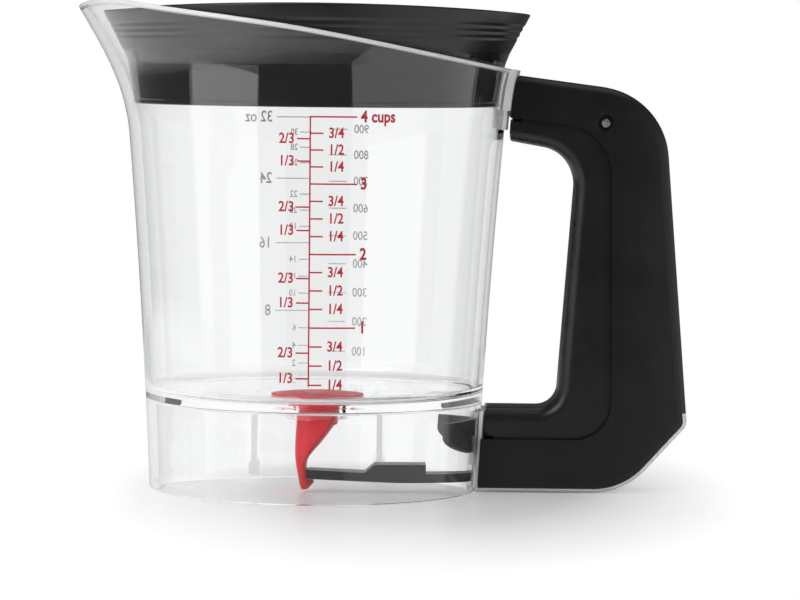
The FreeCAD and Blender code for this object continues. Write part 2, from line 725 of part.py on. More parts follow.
def make_shell():
    middle = across(seam_outline(), HANDLE_W + 2 * OVERRUN)
    shell = handle_envelope().cut([below_strip(STRIP_T + JOIN_GAP), middle, cavity()])
    x = spring_back_x()
    spigot = rod(SPRING_SPIGOT_R, (x + OVERRUN, 0, SPRING_Z), (x - SPRING_SPIGOT_H, 0, SPRING_Z))
    for piece in pin_bosses() + [screw_block(), roof_boss(), spigot]:
        shell = shell.fuse(piece)
    pin_hole = along_trigger_pin(TRIGGER_PIN_R + RUN_FIT, HANDLE_W)
    lever_hole = along_lever_pin(LEVER_PIN_R + RUN_FIT, inner_width() / 2)
    screw_hole = rod(SCREW_R + RUN_FIT, (top_screw_x(), 0, TONGUE_PLATE_LOW_Z),
                     (top_screw_x(), 0, TONGUE_PLATE_TOP_Z + TOP_SCREW_BITE + SCREW_END_GAP))
    screw_end = body_r(ANCHOR_SCREW_Z) + FLANGE_T + ANCHOR_SCREW_BITE + SCREW_END_GAP
    cuts = [pin_hole, lever_hole, screw_hole, tail_bay(), tongue_pocket()]
    cuts += anchor_holes(SCREW_R + RUN_FIT, BASE_R, screw_end)
    for side in (-1, 1):
        face_y = side * HANDLE_W / 2
        cuts.append(rod(PIN_RING_R, (TRIGGER_PIN_X, face_y - side * PIN_RING_DEPTH, TRIGGER_PIN_Z),
                        (TRIGGER_PIN_X, face_y + side, TRIGGER_PIN_Z)))
    return shell.cut(cuts)


def make_spine():
    """Clear strip under the handle, with its upright flange against the skirt."""
    strip = across(handle_outline(), HANDLE_W)
    strip = strip.makeFillet(SHELL_ROUND, outer_edges(strip)).common(below_strip(STRIP_T))
    strip = strip.cut(wall_solid(JOIN_GAP + FLANGE_T / 2, -OVERRUN, FLANGE_TOP_Z))
    flange = wall_solid(FLANGE_T + JOIN_GAP, 0, FLANGE_TOP_Z)
    flange = flange.cut(wall_solid(JOIN_GAP, -OVERRUN, FLANGE_TOP_Z + OVERRUN))
    half = FLANGE_W / 2
    flange = flange.common(block((BASE_R / 2, -half, 0), (BASE_R * 2, half, FLANGE_TOP_Z)))
    holes = anchor_holes(SCREW_R + RUN_FIT, BASE_R - CUT_OVERRUN, BASE_R + CUT_OVERRUN)
    return strip.fuse(flange).cut([lever_slot()] + holes)


# ---- trigger -----------------------------------------------------------------------------------
def trigger_width():
    return inner_width() - 2 * TRIGGER_GAP


def finger_edges(solid):
    """Edges round the finger opening on both sides of the trigger."""
    gap = finger_outline()
    found = []
    for edge in solid.Edges:
        box = edge.BoundBox
        on_side = box.YLength < 1e-6 and abs(abs(box.YMin) - trigger_width() / 2) < 1e-6
        if not on_side:
            continue
        middle = edge.valueAt((edge.FirstParameter + edge.LastParameter) / 2)
        probe = Part.Vertex(V(middle.x, 0, middle.z))
        if gap.OuterWire.distToShape(probe)[0] < 1e-4 and middle.x > INSIDE_X + 1e-3:
            found.append(edge)
    return found


def spring_seat_x():
    return spring_back_x() - SPRING_LENGTH - 2 * SPRING_GAP


def pusher():
    """Rib inside the trigger's lower leg whose nose rests on the lever's tail."""
    nose_z = LEVER_Z + TAIL_TOP + PUSHER_GAP
    x = LEVER_PIN_X + PUSHER_OUT
    centre_z = nose_z + PUSHER_T / 2
    nose = rod(PUSHER_T / 2, (x, -PUSHER_W / 2, centre_z), (x, PUSHER_W / 2, centre_z))
    rib = block((x - PUSHER_T / 2, -PUSHER_W / 2, centre_z),
                (x + PUSHER_T / 2, PUSHER_W / 2, FINGER_FOOT_Z - TRIGGER_WALL / 2))
    return nose.fuse(rib)


def along_trigger_pin(radius, half_length):
    """Cylinder on the trigger's axis, centred in the handle."""
    x, z = TRIGGER_PIN_X, TRIGGER_PIN_Z
    return rod(radius, (x, -half_length, z), (x, half_length, z))


def make_trigger():
    width = trigger_width()
    outer = seam_outline().makeOffset2D(TRIGGER_HIDDEN)
    body = across(outer, width).cut(across(finger_outline(), width + 2 * OVERRUN))
    body = body.makeFillet(TRIGGER_ROUND, finger_edges(body))
    hollow = across(outer.makeOffset2D(OVERRUN), width - 2 * TRIGGER_SIDE)
    hollow = hollow.cut(across(finger_outline().makeOffset2D(TRIGGER_WALL), width))
    body = body.cut(hollow)
    x = spring_seat_x()
    wall_x = body_r(SPRING_Z) + FINGER_ROOM + OVERRUN
    post = rod(SPRING_POST_R, (wall_x, 0, SPRING_Z), (x, 0, SPRING_Z))
    spigot = rod(SPRING_SPIGOT_R, (x - OVERRUN, 0, SPRING_Z), (x + SPRING_SPIGOT_H, 0, SPRING_Z))
    body = body.fuse([post, spigot, along_trigger_pin(TRIGGER_BOSS_R, width / 2), pusher()])
    bore = along_trigger_pin(TRIGGER_PIN_R + RUN_FIT, width)
    return body.cut([bore, front_space(TRIGGER_FRONT_GAP), behind_front_walls()])


def behind_front_walls():
    """Room for the shell's front walls, which the trigger's hidden edges stay behind."""
    seen = across(seam_outline().makeOffset2D(-SEAM_GROOVE), HANDLE_W * 2)
    return front_space(SHELL_WALL + 3 * TRIGGER_GAP).cut(seen)


def make_trigger_pin():
    return along_trigger_pin(TRIGGER_PIN_R, HANDLE_W / 2 - PIN_RING_DEPTH + PIN_PROUD)


def make_spring():
    """Compression spring between the shell's back and the trigger."""
    pitch = (SPRING_LENGTH - 2 * SPRING_WIRE_R) / SPRING_TURNS
    helix = Part.makeHelix(pitch, pitch * SPRING_TURNS, SPRING_R)
    corners = [V(SPRING_R + SPRING_WIRE_R * math.cos(math.pi * i / 3), 0,
                 SPRING_WIRE_R * math.sin(math.pi * i / 3)) for i in range(6)]
    section = Part.makePolygon(corners + corners[:1])
    coil = Part.Wire(helix).makePipeShell([section], True, True)
    coil.rotate(V(0, 0, 0), V(0, 1, 0), 90)
    coil.translate(V(spring_seat_x() + SPRING_GAP + SPRING_WIRE_R, 0, SPRING_Z))
    return coil


# ---- lever and stopper -------------------------------------------------------------------------
def arm_z(x, z):
    """Height of a level line of the lever, bent up from ARM_BEND_X to the tip."""
    return z + TIP_RISE * max(0.0, ARM_BEND_X - x) / (ARM_BEND_X - TIP_X)


def make_lever():
    """Arm from the stopper's tail to the hinge, and the cam-topped tail beyond it."""
    top, low = LEVER_Z + LEVER_T / 2, LEVER_Z - LEVER_T / 2
    shoulder_x, ramp_x = TIP_X + TONGUE_LENGTH, BLOCK_FROM_X - BLOCK_RAMP
    arm = across(polygon([
        (shoulder_x, arm_z(shoulder_x, low)), (ARM_BEND_X, low), (LEVER_PIN_X, low), (LEVER_PIN_X, top),
        (BLOCK_TO_X, top), (BLOCK_TO_X, top + BLOCK_H), (BLOCK_FROM_X, top + BLOCK_H),
        (ramp_x, arm_z(ramp_x, top)), (shoulder_x, arm_z(shoulder_x, top))]), LEVER_W)
    root_x = shoulder_x + OVERRUN
    tongue_tip = across(polygon([
        (TIP_X, arm_z(TIP_X, low)), (root_x, arm_z(root_x, low)), (root_x, arm_z(root_x, top)),
        (TIP_X, arm_z(TIP_X, top))]), TONGUE_W)
    tail_z = LEVER_Z + TAIL_TOP
    end_x = LEVER_PIN_X + TAIL_LENGTH
    tail = across(polygon([
        (LEVER_PIN_X, tail_z - TAIL_T), (end_x, tail_z - TAIL_T), (end_x, tail_z + TAIL_RISE),
        (LEVER_PIN_X + TAIL_FLAT, tail_z), (LEVER_PIN_X, tail_z)]), LEVER_W)
    hub = along_lever_pin(LEVER_HUB_R, LEVER_W / 2)
    bore = along_lever_pin(LEVER_PIN_R + RUN_FIT, LEVER_W)
    return arm.fuse([tongue_tip, tail, hub]).cut(bore).removeSplitter()


def along_lever_pin(radius, half_length):
    """Cylinder on the lever's axis, centred in the handle."""
    return rod(radius, (LEVER_PIN_X, -half_length, LEVER_Z), (LEVER_PIN_X, half_length, LEVER_Z))


def make_lever_pin():
    return along_lever_pin(LEVER_PIN_R, inner_width() / 2 - PIN_END_GAP)


def stopper_tail():
    """Tail below the neck: a slanted side narrows it and its end hooks under the lever's tip."""
    top = COLLAR_Z - TAIL_START
    outline = polygon([
        (-NECK_R, top),
        (NECK_R, top),
        (NECK_R, TAIL_FULL_Z),
        (TAIL_BELLY_X, TAIL_BELLY_Z),
        (TAIL_FOLD_X, TAIL_FOLD_Z),
        (HOOK_X, HOOK_Z + HOOK_T),
        (HOOK_X, HOOK_Z),
        (HOOK_TIP_X, HOOK_TIP_Z),
        (-TAIL_R, TAIL_SWELL_Z),
    ])
    return across(outline, 2 * TAIL_R).common(rod(TAIL_R, (0, 0, 0), (0, 0, top)))


def lever_room(from_x, half_w):
    """Room in the stopper's tail for a part of the lever's tip."""
    low = arm_z(NECK_R, LEVER_Z - LEVER_T / 2) - TIP_CLEAR
    high = arm_z(TIP_X, LEVER_Z + LEVER_T / 2) + TIP_CLEAR
    return block((from_x - TIP_CLEAR, -half_w, low), (2 * NECK_R, half_w, high))


def make_stopper():
    low = SEAT_Z + SEAT_GAP
    disc = turned(chain([(0, low), (STOPPER_R, low), (STOPPER_R, low + STOPPER_LIP),
                         (STOPPER_R - STOPPER_BEVEL, low + STOPPER_T), (0, low + STOPPER_T), (0, low)]))
    neck = rod(NECK_R, (0, 0, COLLAR_Z - TAIL_START), (0, 0, low + STOPPER_LIP))
    body = disc.fuse([neck, stopper_tail()])
    body.translate(V(DRAIN_X, 0, 0))
    pocket = lever_room(TIP_X, TONGUE_W / 2 + TIP_CLEAR)
    shoulders = lever_room(TIP_X + TONGUE_LENGTH, 2 * NECK_R)
    return body.cut([pocket, shoulders])


# ---- anchor plate and screws -------------------------------------------------------------------
def make_anchor():
    """Curved plate that hugs the inside of the skirt, with a rounded lower edge."""
    low, high = ANCHOR_MID_Z - ANCHOR_DROP, ANCHOR_TOP_Z
    gap = JOIN_GAP * 2

    def ring_edge(depth):
        return (skirt_in_r(low) - depth, 0, low), (skirt_in_r(high) - depth, 0, high)

    outer_low, outer_high = ring_edge(gap)
    inner_low, inner_high = ring_edge(gap + ANCHOR_T)
    ring = turned([line(outer_low, outer_high), line(outer_high, inner_high), line(inner_high, inner_low),
                   line(inner_low, outer_low)])
    half_ellipse = Part.Ellipse(V(0, 0, ANCHOR_MID_Z), ANCHOR_HALF_W, ANCHOR_DROP)
    lower = Part.Face(Part.Wire(half_ellipse.toShape()))
    lower.rotate(V(0, 0, ANCHOR_MID_Z), V(0, 0, 1), 90)
    lower.rotate(V(0, 0, ANCHOR_MID_Z), V(0, 1, 0), 90)
    lower = lower.extrude(V(BASE_R, 0, 0))
    upper = block((0, -ANCHOR_HALF_W, ANCHOR_MID_Z), (BASE_R, ANCHOR_HALF_W, high + OVERRUN))
    plate = ring.common(lower.fuse(upper))
    seats = anchor_holes(SCREW_HEAD_R + SCREW_HEAD_GAP, BASE_R / 2, anchor_seat_x())
    return plate.cut(seats + anchor_holes(SCREW_R + RUN_FIT, BASE_R / 2, BASE_R))


def anchor_seat_x():
    """Plane of the flat seats that the anchor screws' heads lie on."""
    return skirt_in_r(ANCHOR_SCREW_Z) - 2 * JOIN_GAP - ANCHOR_SEAT_T


def screw(start, direction, length):
    """Round-headed screw: head at start, shank along direction."""
    towards = V(*direction)
    head = Part.makeCylinder(SCREW_HEAD_R, SCREW_HEAD_H, V(*start) - towards * SCREW_HEAD_H, towards)
    shank = Part.makeCylinder(SCREW_R, length, V(*start), towards)
    return head.fuse(shank)


def make_anchor_screws():
    seat_x = anchor_seat_x() - JOIN_GAP
    end_x = body_r(ANCHOR_SCREW_Z) + FLANGE_T + ANCHOR_SCREW_BITE
    screws = [screw((seat_x, y, ANCHOR_SCREW_Z), (1, 0, 0), end_x - seat_x)
              for y in (-ANCHOR_SCREW_Y, ANCHOR_SCREW_Y)]
    return Part.makeCompound(screws)


def make_top_screw():
    start = (top_screw_x(), 0, TONGUE_PLATE_LOW_Z - JOIN_GAP)
    return screw(start, (0, 0, 1), TONGUE_PLATE_TOP_Z - TONGUE_PLATE_LOW_Z + TOP_SCREW_BITE)


# ---- the whole separator -----------------------------------------------------------------------
def main():
    nodes = {
        "vessel": make_vessel(),
        "strainer_lid": make_lid(),
        "handle_shell": make_shell(),
        "handle_spine": make_spine(),
        "trigger": make_trigger(),
        "trigger_pin": make_trigger_pin(),
        "return_spring": make_spring(),
        "lever_arm": make_lever(),
        "lever_pin": make_lever_pin(),
        "stopper": make_stopper(),
        "anchor_plate": make_anchor(),
        "anchor_screws": make_anchor_screws(),
        "top_screw": make_top_screw(),
    }
    whole = Part.makeCompound(list(nodes.values())).optimalBoundingBox(False)
    shift_x = -(whole.XMin + whole.XMax) / 2.0
    os.makedirs("parts", exist_ok=True)
    for name, shape in nodes.items():
        shape.translate(V(shift_x, 0, 0))
        print(name, "solids", len(shape.Solids), "valid", shape.isValid(), "volume %.1f" % shape.Volume)
        shape.exportStep("parts/" + name + ".step")
    print("jug axis x %.3f" % shift_x, "box", whole)
    print("trigger pin %.3f %.3f" % (TRIGGER_PIN_X + shift_x, TRIGGER_PIN_Z))
    print("lever pin %.3f %.3f" % (LEVER_PIN_X + shift_x, LEVER_Z))


main()
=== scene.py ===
"""Looks of a four-cup gravy separator: a clear jug with a black strainer lid, a handle with a squeeze
trigger, and a red stopper that a lever lifts out of the floor. +Z up, spout to -X, handle to +X.

Sizes are in millimetres with x counted from the jug's axis; mesh_piece turns them into metres.
"""

import bpy
import bmesh
import math
from mathutils import Matrix, Vector


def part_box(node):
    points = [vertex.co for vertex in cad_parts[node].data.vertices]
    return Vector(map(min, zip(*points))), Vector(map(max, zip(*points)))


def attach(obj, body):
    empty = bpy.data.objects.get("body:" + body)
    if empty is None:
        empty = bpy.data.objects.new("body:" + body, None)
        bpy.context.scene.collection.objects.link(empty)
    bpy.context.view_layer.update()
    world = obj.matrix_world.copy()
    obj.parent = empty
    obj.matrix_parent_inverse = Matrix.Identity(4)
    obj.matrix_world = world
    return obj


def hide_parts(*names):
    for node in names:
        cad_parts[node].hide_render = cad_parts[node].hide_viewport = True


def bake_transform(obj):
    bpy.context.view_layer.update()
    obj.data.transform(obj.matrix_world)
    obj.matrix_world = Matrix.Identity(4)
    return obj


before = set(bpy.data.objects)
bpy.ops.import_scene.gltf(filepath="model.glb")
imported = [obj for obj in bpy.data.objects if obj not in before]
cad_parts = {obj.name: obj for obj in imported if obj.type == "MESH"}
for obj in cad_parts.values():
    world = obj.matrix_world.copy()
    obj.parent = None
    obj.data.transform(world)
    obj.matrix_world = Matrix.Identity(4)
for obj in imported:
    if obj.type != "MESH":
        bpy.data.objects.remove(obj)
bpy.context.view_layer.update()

MM = 0.001
LID_LOW, LID_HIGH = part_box("strainer_lid")
AXIS_X = (LID_LOW[0] + LID_HIGH[0]) / 2 / MM      # the jug's axis in the frame
LEVER_LOW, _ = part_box("lever_arm")
SPRING_LOW, SPRING_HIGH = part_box("return_spring")

# ---- jug ----
BASE_R = 55.05
TAPER = 0.042
BOW = 0.00018
WALL = 2.0
FLARE_Z, FLARE_TOP_Z, FLARE, FLARE_POWER = 125.0, 161.0, 8.9, 2.4
SPOUT_Z, SPOUT_TOP_Z, SPOUT, SPOUT_SPREAD = 118.0, 158.0, 5.6, 26.0
RIM_HANDLE_Z, RIM_MID_Z, RIM_SHOULDER_Z, RIM_SPOUT_Z, RIM_TIP_Z = 141.0, 153.5, 160.0, 162.6, 160.9
RIM_SHOULDER_AT, RIM_SPOUT_AT = 0.6, 0.86
RIM_TIP_RUN, RIM_TIP_FALL, RIM_HANDLE_RUN = 6.0, 3.0, 20.0     # how the rim's line goes on past its ends
RIM_EDGE_H, FOOT_EDGE_H = 0.35, 0.2     # height of the pale edges below the rim's lip and at the foot
FLOOR_Z, FLOOR_DISH, FLOOR_T, FLOOR_FILLET = 33.0, 3.7, 2.7, 3.0
SEAT_R, SEAT_EASE, DRAIN_R, COLLAR_R, COLLAR_DROP = 17.0, 1.5, 8.0, 10.6, 1.8
DRAIN_X = 1.1           # the drain sits a little towards the handle
SINK = 1.0              # how far ribs and pads reach into the wall
RIB_X, RIB_W, RIB_DEPTH, RIB_LOW_Z, RIB_RISE = 22.0, 2.0, 1.8, 1.0, 2.6
RIB_FOOT_W, RIB_FOOT_OUT, RIB_FOOT_LOW_Z, RIB_FOOT_Z = 3.6, 0.4, 1.6, 6.0
SLOT_HALF_W, SLOT_LOW_Z, SLOT_HIGH_Z, SLOT_IN, SLOT_OUT = 7.3, 1.6, 8.6, 8.0, 3.4
TONGUE_W, TONGUE_OUT, TONGUE_LOW_Z, TONGUE_TOP_Z, TONGUE_SINK = 14.6, 11.0, 127.6, 133.6, 1.2
TOP_SCREW_OUT = 8.0
BRACKET_T, BRACKET_W, BRACKET_LOW_Z = 2.5, 28.0, 127.2
BRACKET_FOOT_T, BRACKET_FOOT_Z, BRACKET_LAP = 1.2, 120.8, 1.0
ANCHOR_SCREW_Y, ANCHOR_SCREW_Z, SCREW_HOLE_R = 4.3, 16.2, 1.25
HOLE_IN, HOLE_OUT, HOLE_PAST = 10.0, 6.0, 2.0      # the screw holes' cutters reach past the walls
SEAT_Z = FLOOR_Z - FLOOR_DISH
UNDER_Z = SEAT_Z - FLOOR_T
COLLAR_Z = UNDER_Z - COLLAR_DROP
ROUND_COUNT = 288       # points round the jug

# ---- lid ----
LID_BOTTOM_Z, BAND_TOP_Z, NECK_TOP_Z, LID_RIM_Z = 128.5, 142.0, 150.0, 161.6
LID_GAP, BAND_GAP, RIM_GAP = 0.35, 1.2, 1.95
LIP_H, LIP_STEP = 1.4, 0.3
LID_WALL, LID_CROWN, STRAINER_T, FUNNEL_SLOPE, NECK_SAG = 2.0, 2.4, 1.8, 0.5, 0.3
RIDGE_DEPTH, RIDGE_PITCH, RIDGE_FOOT, RIDGES, RIDGE_SHARE = 0.32, 2.3, 1.4, 3, 0.42
STRAINER_HOLE_R, STRAINER_PITCH, STRAINER_BORE, STRAINER_MIDDLE = 2.2, 13.0, 8.0, 20.0

# ---- stopper and lever ----
STOPPER_R, STOPPER_T, STOPPER_LIP, STOPPER_FLAT, NECK_R, NECK_BELOW = 15.6, 2.0, 0.8, 0.55, 6.9, 2.0
SEAT_GAP = 0.2
TIP_CLEAR, LEVER_TONGUE_W, LEVER_TONGUE_L = 0.5, 8.0, 2.2
TIP_LOW_Z, TIP_HIGH_Z = 4.35, 7.8      # the lever's tip inside the tail
TAIL_TOP_Z, TAIL_TIP_Z, TAIL_IN = 24.4, 0.95, 1.0

# ---- spring and trigger ----
SPRING_TURNS, SPRING_WIRE_R = 5, 0.45
SPRING_ENDS = 2.6       # wire radii that the coils stop short of the spring's length
ROOT_LIP_X, ROOT_LIP_TOP_Z = (43.3, 48.4), (124.55, 123.85)     # x in the frame
ROOT_LIP_HALF_W, ROOT_LIP_LOW_Z = 6.0, 123.0

# ---- printed scales ----
CUP_RISE = 25.36        # height that the first cup takes
CUP_SHRINK = 0.558      # each further cup takes less, because the jug widens
ML_PER_CUP = 236.6
INK, INK_START = 0.12, 0.15     # the print's thickness, and its gap to the wall as a share of it
SCALE_X = -0.6          # the front scale's upright line
LINE_W = 0.5
SCALE_FOOT = 0.23       # cups at which the line starts
STROKE, SHORT_STROKE = 15.0, 4.2
NARROW = 0.86           # the letters are narrower than the font's
BACK_DROP = 2.6         # the back scale sits lower, as its readings are taken from behind
BACK_LINE_W, BACK_INNER_X = 0.35, 3.2
CUP_STROKE_X, QUARTER_STROKE_X, ML_STROKE_X = -15.9, -7.4, 9.6
# words: x of the aligned end, size, alignment, extra thickness
CUP_WORDS = SCALE_X + 16.2, 5.2, "LEFT", 0.16
QUARTER_WORDS = SCALE_X + 5.8, 4.6, "LEFT", 0.10
THIRD_WORDS = SCALE_X - 5.0, 4.6, "RIGHT", 0.10
OUNCE_WORDS, EIGHTS_WORDS = (-8.1, 3.2, "LEFT", 0.03), (-17.4, 5.4, "LEFT", 0.06)
ML_WORDS = 17.6, 4.3, "LEFT", 0.05


# ---- helpers ----
def body_r(z):
    """Outer radius of the plain wall: bowed up to the flare, straight beyond it."""
    low = min(z, FLARE_Z)
    end_slope = TAPER + 1.5 * BOW * FLARE_Z
    return BASE_R + TAPER * low + BOW * low * low + end_slope * (z - low)


def wall_r(z):
    rise = max(0.0, (z - FLARE_Z) / (FLARE_TOP_Z - FLARE_Z))
    return body_r(z) + FLARE * rise ** FLARE_POWER


def spout(z, turn):
    """Radius that the spout adds at a height and at a turn from the -X direction, in degrees."""
    t = min(1.0, max(0.0, (z - SPOUT_Z) / (SPOUT_TOP_Z - SPOUT_Z)))
    return SPOUT * t * t * (3.0 - 2.0 * t) * math.exp(-(turn / SPOUT_SPREAD) ** 2)


def steps(low, high, count):
    return [low + (high - low) * i / (count - 1) for i in range(count)]


def rounded_path(corners):
    """Points along straight runs whose corners (r, z, radius) are rounded."""
    facets = 5
    path = []
    for i, (x, z, radius) in enumerate(corners):
        here = Vector((x, z))
        if radius <= 0 or i in (0, len(corners) - 1):
            path.append((x, z))
            continue
        before = Vector(corners[i - 1][:2]) - here
        after = Vector(corners[i + 1][:2]) - here
        half = before.angle(after) / 2
        cut = min(radius / math.tan(half), 0.45 * before.length, 0.45 * after.length)
        radius = cut * math.tan(half)
        before, after = before.normalized(), after.normalized()
        start, end = here + before * cut, here + after * cut
        centre = here + (before + after).normalized() * radius / math.sin(half)
        for t in steps(0, 1, facets + 1):
            spoke = (start - centre).lerp(end - centre, t).normalized() * radius
            path.append(tuple(centre + spoke))
    return path


def smooth_height(points, x):
    """Height at x on a smooth line through points, which run from low x to high x."""
    for i in range(len(points) - 1):
        if x <= points[i + 1][0] or i == len(points) - 2:
            break
    x0, z0 = points[i]
    x1, z1 = points[i + 1]

    def slope(k):
        a, b = points[max(k - 1, 0)], points[min(k + 1, len(points) - 1)]
        return (b[1] - a[1]) / (b[0] - a[0])

    t, run = (x - x0) / (x1 - x0), x1 - x0
    return ((2 * t ** 3 - 3 * t ** 2 + 1) * z0 + (t ** 3 - 2 * t ** 2 + t) * run * slope(i)
            + (-2 * t ** 3 + 3 * t ** 2) * z1 + (t ** 3 - t ** 2) * run * slope(i + 1))


def placed(name, data):
    """New object in the scene."""
    piece = bpy.data.objects.new(name, data)
    bpy.context.scene.collection.objects.link(piece)
    return piece


def mesh_piece(name, points, faces):
    """New object from points in jug millimetres, x counted from the jug's axis."""
    mesh = bpy.data.meshes.new(name)
    mesh.from_pydata([((x + AXIS_X) * MM, y * MM, z * MM) for x, y, z in points], [], faces)
    mesh.validate()
    return placed(name, mesh)


def welded(piece, distance, step):
    """Joins points that lie together, then runs one more step on the mesh."""
    work = bmesh.new()
    work.from_mesh(piece.data)
    bmesh.ops.remove_doubles(work, verts=work.verts, dist=distance)
    step(work)
    work.to_mesh(piece.data)
    work.free()


def face_outwards(piece):
    welded(piece, 1e-6, lambda work: bmesh.ops.recalc_face_normals(work, faces=work.faces))


def closed_piece(name, points, faces):
    piece = mesh_piece(name, points, faces)
    face_outwards(piece)
    return piece


def smooth(piece, angle):
    """Smooth shading with crisp edges where faces meet at more than the angle, in degrees."""
    piece.data.shade_smooth()
    piece.data.set_sharp_from_angle(angle=math.radians(angle))


def ring_faces(rings, around, closed):
    """Quads between neighbouring rings of points; closed joins the last ring to the first."""
    faces = []
    for i in range(rings if closed else rings - 1):
        low, high = i * around, (i + 1) % rings * around
        for j in range(around):
            k = (j + 1) % around
            faces.append((low + j, low + k, high + k, high + j))
    return faces


def capped_faces(rings, around):
    """Quads between neighbouring rings, and a face over each end."""
    count = rings * around
    ends = [tuple(range(around)), tuple(range(count - 1, count - around - 1, -1))]
    return ring_faces(rings, around, False) + ends


def turned(name, profile, shape, around=ROUND_COUNT):
    """Closed turned piece: a profile of (r, z) that is closed, or that starts and ends on the axis.

    shape moves each point, which it gets with its turn.
    """
    points = []
    for r, z in profile:
        for j in range(around):
            turn = 2 * math.pi * j / around
            points.append(shape((r * math.cos(turn), r * math.sin(turn), z), turn))
    return closed_piece(name, points, ring_faces(len(profile), around, profile[0][0] > 0))


def slab(name, outer, inner, rows):
    """Closed slab between two grids of points, each given column by column."""
    count = len(outer)
    columns = count // rows
    faces = []
    for i in range(columns - 1):
        for j in range(rows - 1):
            a, b = i * rows + j, (i + 1) * rows + j
            faces += [(a, b, b + 1, a + 1), (a + 1 + count, b + 1 + count, b + count, a + count)]
        for j in (0, rows - 1):
            a, b = i * rows + j, (i + 1) * rows + j
            faces.append((a, b, b + count, a + count))
    for j in range(rows - 1):
        for a in (j, (columns - 1) * rows + j):
            faces.append((a, a + 1, a + 1 + count, a + count))
    return closed_piece(name, outer + inner, faces)


def bake(piece):
    """Applies what modifiers make of a piece, as a plain mesh."""
    graph = bpy.context.evaluated_depsgraph_get()
    mesh = bpy.data.meshes.new_from_object(piece.evaluated_get(graph))
    piece.modifiers.clear()
    piece.data = mesh


def combine(piece, others, how):
    """Boolean of a piece with other closed pieces, which are used up."""
    for other in others:
        cut = piece.modifiers.new("cut", "BOOLEAN")
        cut.operation, cut.solver, cut.object = how, "EXACT", other
    bake(piece)
    for other in others:
        bpy.data.objects.remove(other)


def block_piece(name, corners):
    """Closed block from eight corners, which run along z first, then y, then x."""
    faces = [(0, 1, 3, 2), (4, 6, 7, 5), (0, 4, 5, 1), (2, 3, 7, 6), (0, 2, 6, 4), (1, 5, 7, 3)]
    return closed_piece(name, corners, faces)


def box_piece(name, low, high):
    xs, ys, zs = zip(low, high)
    return block_piece(name, [(x, y, z) for x in xs for y in ys for z in zs])


def rod_piece(name, radius, start, end):
    """Closed round bar between two points."""
    around = 32
    axis = Vector(end) - Vector(start)
    side = axis.orthogonal().normalized()
    points = []
    for middle in (Vector(start), Vector(end)):
        for j in range(around):
            spoke = Matrix.Rotation(2 * math.pi * j / around, 3, axis) @ side * radius
            points.append(tuple(middle + spoke))
    return closed_piece(name, points, capped_faces(2, around))


def finished(piece, body, slot, material, *nodes):
    """Gives a piece its material and its body, and hides the CAD nodes it stands for."""
    piece.data.materials.clear()
    piece.data.materials.append(material)
    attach(piece, body)
    if nodes:
        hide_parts(*nodes)


def dressed(node, body, slot, material):
    """Smooth copy of a CAD node, which it stands for; large faces stay flat beside their roundings."""
    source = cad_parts[node]
    piece = placed(node + "_piece", source.data.copy())
    piece.data.transform(source.matrix_world)
    close = 2e-6
    welded(piece, close, lambda work: bmesh.ops.dissolve_degenerate(work, edges=work.edges, dist=close))
    smooth(piece, 32.0)
    flatten = piece.modifiers.new("flatten", "WEIGHTED_NORMAL")
    flatten.keep_sharp, flatten.weight = True, 80
    bake(piece)
    finished(piece, body, slot, material, node)


# ---- node trees ----
class Nodes:
    """Short calls for the nodes, links and sums of a node tree."""

    def __init__(self, tree):
        self.tree = tree

    def add(self, kind, links=None, **values):
        """New node; links sets its inputs from other sockets or plain values."""
        node = self.tree.nodes.new(kind)
        for key, value in values.items():
            setattr(node, key, value)
        for key, value in (links or {}).items():
            self.feed(node.inputs[key], value)
        return node

    def feed(self, socket, value):
        """Sets an input from another socket or a plain value."""
        if isinstance(value, bpy.types.NodeSocket):
            self.tree.links.new(value, socket)
        else:
            socket.default_value = value

    def maths(self, operation, *values):
        return self.add("ShaderNodeMath", dict(enumerate(values)), operation=operation).outputs["Value"]

    def plus(self, first, second):
        return self.maths("ADD", first, second)

    def minus(self, first, second):
        return self.maths("SUBTRACT", first, second)

    def times(self, first, second):
        return self.maths("MULTIPLY", first, second)

    def most(self, first, second):
        return self.maths("MAXIMUM", first, second)

    def above(self, value, limit):
        """1 where a value is over a limit, else 0."""
        return self.maths("GREATER_THAN", value, limit)

    def spread(self, source, low, high, from_low=0.3, from_high=0.7):
        """Maps a value onto a range; what noise gives lies mostly between 0.3 and 0.7."""
        ends = {"Value": source, "From Min": from_low, "From Max": from_high, "To Min": low, "To Max": high}
        return self.add("ShaderNodeMapRange", ends).outputs["Result"]


